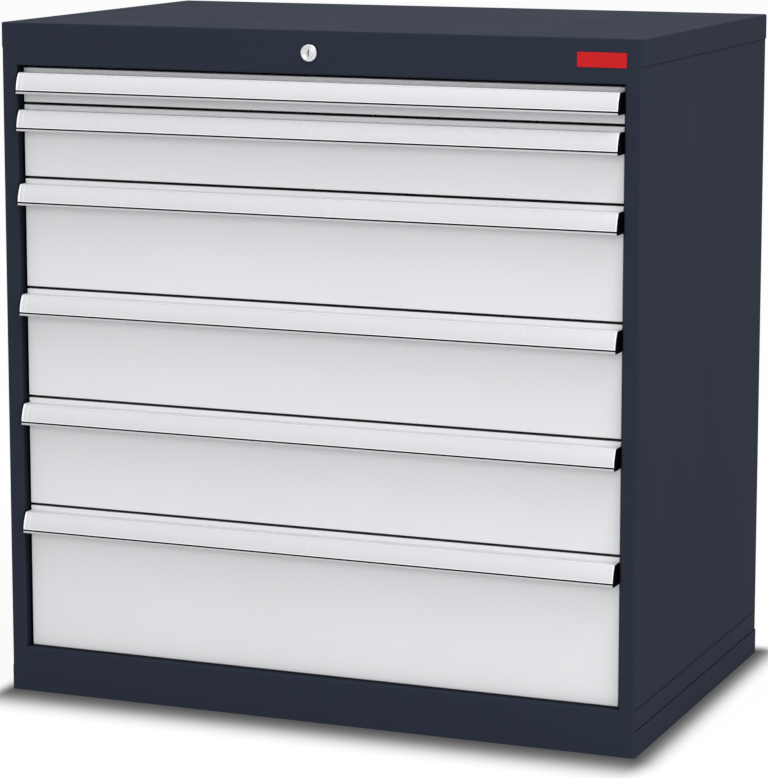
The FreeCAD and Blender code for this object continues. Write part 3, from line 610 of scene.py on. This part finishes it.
def rounded_outline(corners, steps=4):
    """Points round a closed outline of (across, along, radius) corners."""
    points = []
    for number, (x, y, radius) in enumerate(corners):
        here = Vector((x, y))
        before = Vector(corners[number - 1][:2]) - here
        after = Vector(corners[(number + 1) % len(corners)][:2]) - here
        if radius <= 0.0:
            points.append(tuple(here))
            continue
        half = before.angle(after) / 2
        reach = radius / math.tan(half)
        start, end = here + before.normalized() * reach, here + after.normalized() * reach
        middle = here + (before.normalized() + after.normalized()).normalized() * (radius / math.sin(half))
        first = start - middle
        turn = first.angle_signed(end - middle)
        for step in range(steps + 1):
            angle = -turn * step / steps
            points.append((middle.x + first.x * math.cos(angle) - first.y * math.sin(angle),
                           middle.y + first.x * math.sin(angle) + first.y * math.cos(angle)))
    return points


def block_mesh(name, size, radius):
    """A cutter block with its long edges rounded, centred on zero; it cuts along X."""
    across, height = size[1] / 2, size[2] / 2
    outline = rounded_outline([(-across, -height, radius), (across, -height, radius), (across, height, radius), (-across, height, radius)], 3)
    return welded(name, [[(x, y, z) for y, z in outline] for x in (-size[0] / 2, size[0] / 2)])


# Holes punched through a sheet, one at each point of the second mesh.
punched, p_in, p_out = geometry_tree("punched", [("Places", "Object", None), ("Punch", "Object", None), ("Finish", "Material", None)])
p_places = add(punched, "GeometryNodeObjectInfo", {"Object": p_in["Places"]}, transform_space="ORIGINAL")
p_tool = add(punched, "GeometryNodeObjectInfo", {"Object": p_in["Punch"]}, transform_space="ORIGINAL")
p_copies = add(punched, "GeometryNodeInstanceOnPoints", {"Points": p_places.outputs["Geometry"], "Instance": p_tool.outputs["Geometry"]})
p_real = add(punched, "GeometryNodeRealizeInstances", {"Geometry": p_copies.outputs["Instances"]})
p_cut = add(punched, "GeometryNodeMeshBoolean", {"Mesh 1": p_in["Geometry"], "Mesh 2": p_real.outputs["Geometry"]}, operation="DIFFERENCE", solver="EXACT")
p_done = add(punched, "GeometryNodeSetMaterial", {"Geometry": p_cut.outputs["Mesh"], "Material": p_in["Finish"]})
punched.links.new(p_done.outputs["Geometry"], p_out.inputs["Geometry"])


def joined(name, meshes):
    """Several meshes as one, with nothing merged."""
    shape = bmesh.new()
    for mesh in meshes:
        shape.from_mesh(mesh)
    made = bpy.data.meshes.new(name)
    shape.to_mesh(made)
    shape.free()
    return made


post_sheet, post_bend = 0.0015, 0.0022
hole_size, hole_pitch, hole_corner = 0.008, 0.025, 0.0012
rail_lift = 0.022
for name in ("front_posts", "rear_posts"):
    low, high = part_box(name)
    channels = []
    inner = min(abs(corner.x) for lump in islands(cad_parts[name].data) for corner in lump)
    for sign in (-1, 1):
        web, mouth = sign * inner, sign * high.x
        inside = web + sign * post_sheet
        outline = rounded_outline([(mouth, low.y, 0), (web, low.y, post_bend), (web, high.y, post_bend), (mouth, high.y, 0),
                                   (mouth, high.y - post_sheet, 0), (inside, high.y - post_sheet, post_bend - post_sheet),
                                   (inside, low.y + post_sheet, post_bend - post_sheet), (mouth, low.y + post_sheet, 0)])
        channels.append(welded(name, [[(x, y, z) for x, y in outline] for z in (low.z, high.z)]))
    lowest = min((a.z + b.z) / 2 for a, b in islands(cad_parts["right_cabinet_rails"].data))
    steps = int((high.z - lowest - hole_size) / hole_pitch) + 1
    middle = (low.y + high.y) / 2
    places = [(sign * (inner + post_sheet / 2), middle, lowest + step * hole_pitch) for sign in (-1, 1) for step in range(steps)]
    mesh = grown(name, punched, {"Places": pattern("hole_places", points_mesh("hole_places", places)),
                                 "Punch": pattern("punch", block_mesh("punch", (0.006, hole_size, hole_size), hole_corner)),
                                 "Finish": casing_coat}, joined(name, channels))
    fitted(name.replace("posts", "uprights"), mesh, "casing", casing_coat, [name])


# Cabinet rails. Rolled channels of plated steel, hooked by tabs into the uprights, two for each drawer.

for side in ("left", "right"):
    dressed(side + "_cabinet_rails", side + "_fixed_rails", "casing", zinc_plate)


# Slide carriages. Between each fixed rail and its drawer's runner runs a flat bar with four rollers,
# turned from steel and riveted through; Geometry Nodes set the rollers on the bars.

def boxes_of(node, test):
    """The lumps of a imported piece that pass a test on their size."""
    return [(low, high) for low, high in islands(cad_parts[node].data) if test(high - low)]


roller_profile = [(0.0030, -0.0052), (0.0034, -0.0050), (0.0034, -0.0044), (0.0105, -0.0044), (0.0113, -0.0052), (0.0130, -0.0052),
                  (0.0139, -0.0044), (0.0139, 0.0044), (0.0130, 0.0052), (0.0113, 0.0052), (0.0105, 0.0044), (0.0034, 0.0044),
                  (0.0034, 0.0050), (0.0030, 0.0052)]
bar_corner, bar_end_corner = 0.0005, 0.004
for number in range(1, 7):
    node = "drawer_%d_carriage" % number
    bars = boxes_of(node, lambda size: size.y > 0.1)
    rollers = boxes_of(node, lambda size: size.y < 0.1)
    meshes = []
    for low, high in bars:
        outline = rounded_outline([(low.y, low.z, bar_end_corner), (high.y, low.z, bar_end_corner),
                                   (high.y, high.z, bar_end_corner), (low.y, high.z, bar_end_corner)])
        meshes.append(welded("bar", [[(x, y, z) for y, z in outline] for x in (low.x, high.x)]))
    roller = welded("roller", [circle(radius, along, "X", 28) for radius, along in roller_profile])
    meshes.append(grown("rollers", set_out, {"Piece": pattern("roller", roller), "Finish": zinc_plate},
                        points_mesh("roller_places", [(low + high) / 2 for low, high in rollers])))
    fitted("drawer_%d_slide_carriage" % number, joined("carriage", meshes), "carriage_%d" % number, zinc_plate, [node])


# Trays. Six tubs of 1 mm sheet with hemmed rims, and slots punched for partitions in three walls.
# Behind each a tongue with an upright pin is welded on, for the locking bar to hold.

def plan_ring(low, high, z, inset, corner):
    """A rounded rectangle seen from above, drawn in by the inset."""
    radius = max(corner - inset, 0.0004)
    x0, y0, x1, y1 = low.x + inset, low.y + inset, high.x - inset, high.y - inset
    outline = rounded_outline([(x0, y0, radius), (x1, y0, radius), (x1, y1, radius), (x0, y1, radius)])
    return [(x, y, z) for x, y in outline]


def arc(radius, steps=4):
    """Pairs (sideways, forward) round a quarter bend, from its start to its end."""
    turns = [math.pi / 2 * step / steps for step in range(steps + 1)]
    return [(radius * (1 - math.sin(turn)), radius * (1 - math.cos(turn))) for turn in turns]


tray_coat = powder_coat("tray_paint", (0.62, 0.63, 0.65), (0.72, 0.72, 0.73), 0.48, 0.4, 1000.0, 0.00004, 0.3)
tray_sheet, tray_bend, tray_corner = 0.001, 0.002, 0.003
rim_thickness, rim_height = 0.0024, 0.005
slot_width, slot_pitch, slot_margin = 0.003, 0.050, 0.006
for number in range(1, 7):
    node = "drawer_%d_tray" % number
    low, high = max(boxes_of(node, lambda size: size.x > 0.1), key=lambda lump: lump[1].x)
    rings = [plan_ring(low, high, low.z + rise, inset, tray_corner) for inset, rise in arc(tray_bend)]
    half_hem = rim_thickness / 2
    for step in range(9):
        turn = math.pi * step / 8
        rings.append(plan_ring(low, high, high.z - half_hem * (1 - math.sin(turn)), half_hem * (1 - math.cos(turn)), tray_corner))
    rings.append(plan_ring(low, high, high.z - rim_height + 0.0004, rim_thickness, tray_corner))
    rings.append(plan_ring(low, high, high.z - rim_height, rim_thickness - 0.0004, tray_corner))
    rings.append(plan_ring(low, high, high.z - rim_height, tray_sheet, tray_corner))
    inner_bend = tray_bend - tray_sheet
    for inset, rise in reversed(arc(inner_bend)):
        rings.append(plan_ring(low, high, low.z + tray_sheet + rise, tray_sheet + inset, tray_corner))
    tub = welded("tub", rings)
    slot_low, slot_high = low.z + tray_sheet + slot_margin, high.z - rim_height - slot_margin
    slot_height, slot_middle = slot_high - slot_low, (slot_low + slot_high) / 2
    depth_steps = int((high.y - low.y - 2 * slot_pitch + 1e-6) / slot_pitch) + 1
    side_slots = [(0.0, (low.y + high.y) / 2 + slot_pitch * (step - (depth_steps - 1) / 2), slot_middle) for step in range(depth_steps)]
    tub = grown("tub", punched, {"Places": pattern("slot_places", points_mesh("slot_places", side_slots)),
                                 "Punch": pattern("slot", block_mesh("slot", (2 * high.x + 0.01, slot_width, slot_height), slot_width * 0.45)),
                                 "Finish": tray_coat}, tub)
    width_steps = int((2 * high.x - 2 * slot_pitch + 1e-6) / slot_pitch) + 1
    rear_slots = [(slot_pitch * (step - (width_steps - 1) / 2), high.y, slot_middle) for step in range(width_steps)]
    rear_punch = block_mesh("slot", (0.008, slot_width, slot_height), slot_width * 0.45)
    rear_punch.transform(Matrix.Rotation(math.pi / 2, 4, "Z"))
    tub = grown("tub", punched, {"Places": pattern("slot_places", points_mesh("slot_places", rear_slots)),
                                 "Punch": pattern("slot", rear_punch), "Finish": tray_coat}, tub)
    meshes = [tub]
    for low, high in boxes_of(node, lambda size: size.x < 0.1):
        if high.z - low.z < 0.005:
            outline = rounded_outline([(low.x, low.y, 0), (high.x, low.y, 0), (high.x, high.y, 0.004), (low.x, high.y, 0.004)])
            meshes.append(welded("tongue", [[(x, y, z) for x, y in outline] for z in (low.z, high.z)]))
        else:
            middle = ((low.x + high.x) / 2, (low.y + high.y) / 2, 0.0)
            radius = (high.x - low.x) / 2
            meshes.append(welded("pin", [circle(r, z, "Z", 20, centre=middle) for r, z in
                                         ((radius, low.z), (radius, high.z - 0.0008), (radius - 0.0008, high.z))]))
    fitted("drawer_%d_tub" % number, joined("tray", meshes), "drawer_%d" % number, tray_coat, [node])


# Runners. The slide channels on both sides of each tray, plated steel, spot welded on.

for number in range(1, 7):
    dressed("drawer_%d_runners" % number, "drawer_%d_side_channels" % number, "drawer_%d" % number, zinc_plate)


# Drawer fronts. Each is one 1.2 mm sheet folded round on all four edges into a shallow box,
# powder coated light grey and fixed to its tray through the open back.

def front_ring(low, high, y, inset_x, inset_z, corner):
    """A rounded rectangle seen from the front, drawn in from the sides and from top and bottom."""
    x0, z0, x1, z1 = low.x + inset_x, low.z + inset_z, high.x - inset_x, high.z - inset_z
    outline = rounded_outline([(x0, z0, corner), (x1, z0, corner), (x1, z1, corner), (x0, z1, corner)])
    return [(x, y, z) for x, z in outline]


# The fronts' lighter, bluer edges, even along every fold, are a painted highlight, with patches of wear.
front_coat = powder_coat("drawer_paint", (0.72, 0.72, 0.735), (0.78, 0.80, 0.84), 0.42, 0.35, 1000.0, 0.00003, 0.6, 0.6, (0.42, 0.28, 0.014))
front_sheet, front_bend, rear_bend = 0.0012, 0.0015, 0.0010
window_side, window_edge = 0.0385, 0.012
for number in range(1, 7):
    node = "drawer_%d_front" % number
    low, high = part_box(node)
    rings = [front_ring(low, high, low.y + back, inset, inset, 0.0006 + 0.3 * (front_bend - inset)) for inset, back in arc(front_bend)]
    rings += [front_ring(low, high, high.y - back, inset, inset, 0.0010) for inset, back in reversed(arc(rear_bend))]
    rings.append(front_ring(low, high, high.y, window_side, window_edge, 0.003))
    rings.append(front_ring(low, high, high.y - front_sheet, window_side, window_edge, 0.003))
    rings.append(front_ring(low, high, high.y - front_sheet, front_sheet, front_sheet, 0.0006))
    rings.append(front_ring(low, high, low.y + front_sheet, front_sheet, front_sheet, 0.0006))
    fitted("drawer_%d_folded_front" % number, welded("front", rings), "drawer_%d" % number, front_coat, [node])


# Grips. An aluminium extrusion all across each front, screwed on by its flange from inside:
# a ledge, a bowed face that leans out to a lip darkened with painted shade, and a channel in the face for labels.

grip_height, grip_reach, grip_ledge, grip_bow, grip_lip = 0.0277, 0.0250, 0.0170, 0.00185, 0.0028
ledge_sheet, face_sheet, flange_height, foot_radius = 0.0020, 0.0018, 0.0240, 0.0010
label_recess, upper_lip, label_groove = 0.0014, 0.0012, 0.0020
cap_thickness = 0.0015
face_drop = grip_height - grip_lip
half_chord = math.hypot(grip_reach - grip_ledge, face_drop) / 2
face_radius = (half_chord ** 2 + grip_bow ** 2) / (2 * grip_bow)
face_lean = math.atan2(grip_reach - grip_ledge, face_drop)
centre_forward = (grip_ledge + grip_reach) / 2 - (face_radius - grip_bow) * math.cos(face_lean)
centre_down = face_drop / 2 + (face_radius - grip_bow) * math.sin(face_lean)
face_start = math.atan2(-centre_down, grip_ledge - centre_forward)
face_end = math.atan2(face_drop - centre_down, grip_reach - centre_forward)
face_length = face_radius * (face_end - face_start)
bow_steps = 8


def on_face(along, inward=0.0, radius=0.0):
    """A corner of the profile, measured down the bowed face and into it: (forward, down, radius)."""
    turn = face_start + along / face_radius
    reach = face_radius - inward
    return (centre_forward + reach * math.cos(turn), centre_down + reach * math.sin(turn), radius)


def down_face(start, end, inward, radius):
    """Corners from one place along the bowed face to another; the two ends have the radius."""
    inside = [on_face(start + (end - start) * step / bow_steps, inward) for step in range(1, bow_steps)]
    return [on_face(start, inward, radius)] + inside + [on_face(end, inward, radius)]


def grip_places(number):
    """Half the width, the plane of the front and the top of a drawer's grip."""
    low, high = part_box("drawer_%d_grip_caps" % number)
    return high.x, high.y, high.z


def placed_outline(corners, plane, top, x, steps=5):
    return [(x, plane - forward, top - down) for forward, down in rounded_outline(corners, steps)]


foot_corner = (grip_reach, grip_height, foot_radius)
anodised = metal("grip_aluminium", (0.76, 0.76, 0.78), 0.50, 420.0, (0.02, 1.0, 1.0), 0.000012, 0.15, metallic=0.5, shade_attribute="on_lip")
face_wall = label_recess + face_sheet
under_ledge = face_radius * (math.asin((ledge_sheet - centre_down) / (face_radius - face_wall)) - face_start)
lip_inside = on_face(face_length, face_wall, 0.0002)
grip_corners = [(0, 0, 0), on_face(0, 0, 0.0005), on_face(upper_lip, 0, 0.0002)]
grip_corners += down_face(upper_lip, face_length, label_recess, 0.0001)
grip_corners += [on_face(face_length, 0, 0.0002), foot_corner, (lip_inside[0], grip_height, 0.0002)]
grip_corners += down_face(face_length, under_ledge, face_wall, 0.0002)
grip_corners += [(ledge_sheet, ledge_sheet, 0.0008), (ledge_sheet, flange_height, 0.0006), (0, flange_height, 0.0002)]
for number in range(1, 7):
    half, plane, top = grip_places(number)
    rings = [placed_outline(grip_corners, plane, top, x) for x in (cap_thickness - half, half - cap_thickness)]
    profile = welded("grip", rings)
    # on_lip marks the lip, which the grip's material darkens with painted shade.
    on_lip = profile.attributes.new("on_lip", "FLOAT", "POINT")
    for vert, value in zip(profile.vertices, on_lip.data):
        value.value = 1.0 if top - vert.co.z > face_drop - 0.0002 else 0.0
    fitted("drawer_%d_grip_profile" % number, profile, "drawer_%d" % number, anodised,
           ["drawer_%d_grip" % number], 25.0)


# Label strips. A stiff clear strip over pale card, slid into the channel of each grip.
# A painted highlight gives its ends and its lower edge a bright line.

strip_sheet, strip_edge = 0.0012, 0.0003
strip_foot = face_length - label_groove


def band(tree, value, width, soft=0.0003):
    """One where a value is under the width, with a soft end."""
    fade = add(tree, "ShaderNodeMapRange", {"Value": value, "From Min": width, "From Max": width + soft, "To Min": 1.0, "To Max": 0.0})
    return fade.outputs[0]


def strip_plastic():
    """Clear plastic over pale card; the cut ends and the lower edge get a painted highlight, and a fainter light line
    marks where the card ends.
    """
    made, tree, shader = material_base("label_plastic")
    place = add(tree, "ShaderNodeTexCoord").outputs["Object"]
    across = add(tree, "ShaderNodeSeparateXYZ", {"Vector": place}).outputs["X"]
    from_right = sums(tree, "SUBTRACT", strip_half, across)
    from_left = sums(tree, "ADD", strip_half, across)
    card_edge = sums(tree, "ABSOLUTE", sums(tree, "SUBTRACT", from_left, 0.0085))
    from_foot = add(tree, "ShaderNodeAttribute", attribute_name="from_foot").outputs["Fac"]
    # Painted highlight: the ends and the lower edge lighten towards near white.
    ends = sums(tree, "MAXIMUM", band(tree, from_right, 0.0013), band(tree, from_left, 0.0022))
    ends = sums(tree, "MAXIMUM", ends, sums(tree, "MULTIPLY", band(tree, card_edge, 0.0004), 0.45))
    painted_highlight = sums(tree, "MAXIMUM", ends, band(tree, from_foot, 0.0009))
    card = add(tree, "ShaderNodeTexNoise", {"Vector": place, "Scale": 5.0, "Detail": 3.0}).outputs["Fac"]
    pale = blend(tree, card, (0.605, 0.605, 0.620), (0.625, 0.625, 0.640))
    tree.links.new(blend(tree, painted_highlight, pale, (0.88, 0.88, 0.89)), shader.inputs["Base Color"])
    haze = use(tree, handling_haze, scale=9.0)["Haze"]
    tree.links.new(sums(tree, "ADD", 0.22, sums(tree, "MULTIPLY", haze, 0.08)), shader.inputs["Roughness"])
    wave = add(tree, "ShaderNodeTexNoise", {"Vector": place, "Scale": 24.0, "Detail": 1.0}).outputs["Fac"]
    bump = add(tree, "ShaderNodeBump", {"Height": wave, "Strength": 1.0, "Distance": 0.00012})
    tree.links.new(bump.outputs[0], shader.inputs["Normal"])
    shader.inputs["Specular IOR Level"].default_value = 0.4
    return made


strip_half = grip_places(1)[0] - cap_thickness
label_cover = strip_plastic()
strip_corners = [on_face(upper_lip, label_recess)] + down_face(upper_lip, strip_foot, label_recess - strip_sheet, strip_edge)
strip_corners += [on_face(upper_lip + (strip_foot - upper_lip) * (1 - step / bow_steps), label_recess) for step in range(bow_steps)]
for number in range(1, 7):
    half, plane, top = grip_places(number)
    rings = [placed_outline(strip_corners, plane, top, x, 2) for x in (-strip_half, strip_half)]
    strip = welded("strip", rings)
    from_foot = strip.attributes.new("from_foot", "FLOAT", "POINT")
    for vert, value in zip(strip.vertices, from_foot.data):
        turn = math.atan2(top - vert.co.z - centre_down, plane - vert.co.y - centre_forward)
        value.value = strip_foot - face_radius * (turn - face_start)
    fitted("drawer_%d_label_cover" % number, strip, "drawer_%d" % number, label_cover,
           ["drawer_%d_label_strip" % number], 20.0)


# Grip caps. Moulded black plastic, pushed on the two ends of each grip; the outer edge is rounded.

def moulded_black():
    made, tree, shader = material_base("cap_plastic")
    grain = use(tree, powder_grain, scale=2600.0)
    worn = use(tree, edge_wear, reach=0.0006, amount=0.5)["Mask"]
    tone = blend(tree, grain["Drift"], (0.0012, 0.0012, 0.0026), (0.0022, 0.0022, 0.0036))
    tree.links.new(blend(tree, worn, tone, (0.008, 0.008, 0.010)), shader.inputs["Base Color"])
    tree.links.new(sums(tree, "ADD", 0.55, sums(tree, "MULTIPLY", grain["Height"], 0.1)), shader.inputs["Roughness"])
    bump = add(tree, "ShaderNodeBump", {"Height": grain["Height"], "Strength": 1.0, "Distance": 0.00003})
    tree.links.new(bump.outputs[0], shader.inputs["Normal"])
    shader.inputs["Specular IOR Level"].default_value = 0.03
    return made


cap_black = moulded_black()
cap_corners = [(0, 0, 0.0002)] + down_face(0, face_length, 0, 0.0003) + [foot_corner, (0, grip_height, 0.0004)]
for number in range(1, 7):
    half, plane, top = grip_places(number)
    meshes = []
    for sign in (-1, 1):
        shape = bmesh.new()
        mesh = welded("cap", [placed_outline(cap_corners, plane, top, sign * x) for x in (half - cap_thickness, half)])
        shape.from_mesh(mesh)
        outer = [edge for edge in shape.edges if all(abs(vert.co.x - sign * half) < 1e-6 for vert in edge.verts)]
        bmesh.ops.bevel(shape, geom=outer, offset=0.0004, segments=2, profile=0.5, affect="EDGES", clamp_overlap=True)
        shape.to_mesh(mesh)
        shape.free()
        meshes.append(mesh)
    fitted("drawer_%d_end_caps" % number, joined("caps", meshes), "drawer_%d" % number, cap_black,
           ["drawer_%d_grip_caps" % number])


# Groove beads. A thin black bead fills the groove above the lip, below each label strip; it stands in for the shade in
# that groove.

bead_rise, bead_gap = 0.0013, 0.00002
bead_corners = [on_face(strip_foot + bead_gap, label_recess), on_face(strip_foot + bead_gap, label_recess - bead_rise, 0.0002),
                on_face(face_length, label_recess - bead_rise, 0.0002), on_face(face_length, label_recess)]
for number in range(1, 7):
    half, plane, top = grip_places(number)
    rings = [placed_outline(bead_corners, plane, top, x, 3) for x in (-strip_half, strip_half)]
    fitted("drawer_%d_groove_bead" % number, welded("bead", rings), "drawer_%d" % number, cap_black, [])


# Top cover. One sheet: the lid, its skirts and the fascia folded down in front with the hole for the lock.

folded("top_cover", "lid_and_fascia")


# Lock. A nickel plated cylinder lock through the fascia, held by a nut behind it.
# The flange is turned with a raised rim; the plug has an upright key slot with a notch.

def turned_ring(name, profile, axis="Y", sides=40, centre=(0.0, 0.0, 0.0)):
    """A turned ring with a bore: the profile is a closed loop of (radius, along)."""
    return looped(name, [circle(radius, along, axis, sides, centre=centre) for radius, along in profile])


nickel = metal("lock_nickel", (0.74, 0.74, 0.75), 0.30, 300.0, (1.0, 1.0, 1.0), 0.00001, 0.2, coat=0.2)
low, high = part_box("lock_housing")
lock_centre = Vector(((low.x + high.x) / 2, 0.0, (low.z + high.z) / 2))
fascia_plane = low.y + 0.003
bore, barrel_radius, flange_radius = 0.00655, 0.008, 0.0113
housing_profile = [(bore, low.y + 0.0008), (0.0070, low.y + 0.0003), (0.0074, low.y + 0.0004), (0.0080, low.y + 0.0005), (0.0084, low.y),
                   (0.0104, low.y), (0.0109, low.y + 0.0004), (flange_radius, low.y + 0.0010), (flange_radius, fascia_plane),
                   (barrel_radius, fascia_plane)]
thread_pitch, thread_depth = 0.00125, 0.0004
for turn in range(20):
    at = fascia_plane + 0.002 + turn * thread_pitch
    housing_profile += [(barrel_radius, at), (barrel_radius - thread_depth, at + thread_pitch / 2)]
housing_profile += [(barrel_radius, high.y - 0.0006), (barrel_radius - 0.0006, high.y), (bore, high.y)]
fitted("lock_body", turned_ring("lock_body", housing_profile, centre=lock_centre), "casing", nickel, ["lock_housing"], 30.0)

dressed("lock_nut", "lock_ring_nut", "casing", nickel)

low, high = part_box("lock_plug")
plug_radius, key_depth = (high.x - low.x) / 2, 0.010
plug = welded("plug", [circle(radius, along, "Y", 40, centre=lock_centre) for radius, along in
                       ((plug_radius - 0.0003, low.y), (plug_radius, low.y + 0.0003), (plug_radius, high.y - 0.0004), (plug_radius - 0.0004, high.y))])
key_outline = [(-0.0009, -0.0045), (0.0009, -0.0045), (0.0009, 0.0045), (-0.0009, 0.0045),
               (-0.0009, 0.0012), (-0.0024, 0.0012), (-0.0024, -0.0012), (-0.0009, -0.0012)]
keyway = welded("keyway", [[(x, y, z) for x, z in key_outline] for y in (low.y - 0.001, low.y + key_depth)])
plug = grown("plug", punched, {"Places": pattern("key_place", points_mesh("key_place", [lock_centre])),
                               "Punch": pattern("keyway", keyway), "Finish": nickel}, plug)
fitted("lock_cylinder", plug, "lock", nickel, ["lock_plug"], 30.0)


# Lock rod, bar and guides. The long rod carries the key's turn to the back, where its crank pin
# lowers the flat bar that stands in front of every drawer's pin; plated steel, cut and welded.

bar_steel = metal("lock_steel", (0.50, 0.51, 0.53), 0.45, 240.0, (1.0, 1.0, 0.08), 0.00002, 0.4)
dressed("lock_rod", "crank_rod", "lock", bar_steel)
dressed("locking_bar", "drop_bar", "locking_bar", bar_steel)
dressed("lock_guides", "bar_guides", "casing", bar_steel)


# Plate. A small plain enamelled plate, pressed with rounded edges and glued on the fascia.

def enamel():
    made, tree, shader = material_base("plate_enamel")
    grain = use(tree, powder_grain, scale=700.0)
    worn = use(tree, edge_wear, reach=0.0006, amount=0.3)["Mask"]
    tone = blend(tree, grain["Drift"], (0.49, 0.0095, 0.011), (0.52, 0.011, 0.013))
    tree.links.new(blend(tree, worn, tone, (0.58, 0.08, 0.08)), shader.inputs["Base Color"])
    tree.links.new(sums(tree, "ADD", 0.26, sums(tree, "MULTIPLY", grain["Height"], 0.08)), shader.inputs["Roughness"])
    bump = add(tree, "ShaderNodeBump", {"Height": grain["Height"], "Strength": 1.0, "Distance": 0.00002})
    tree.links.new(bump.outputs[0], shader.inputs["Normal"])
    shader.inputs["Specular IOR Level"].default_value = 0.12
    return made


red_enamel = enamel()
low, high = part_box("name_plate")
plate_rings = []
for inset, y in ((0.0, high.y), (0.0, low.y + 0.00035), (0.0001, low.y + 0.00015), (0.0004, low.y)):
    plate_rings.append(front_ring(low, high, y, inset, inset, 0.001))
fitted("blank_plate", welded("plate", plate_rings), "casing", red_enamel, ["name_plate"], 40.0)


bpy.context.scene.view_settings.view_transform = "Standard"
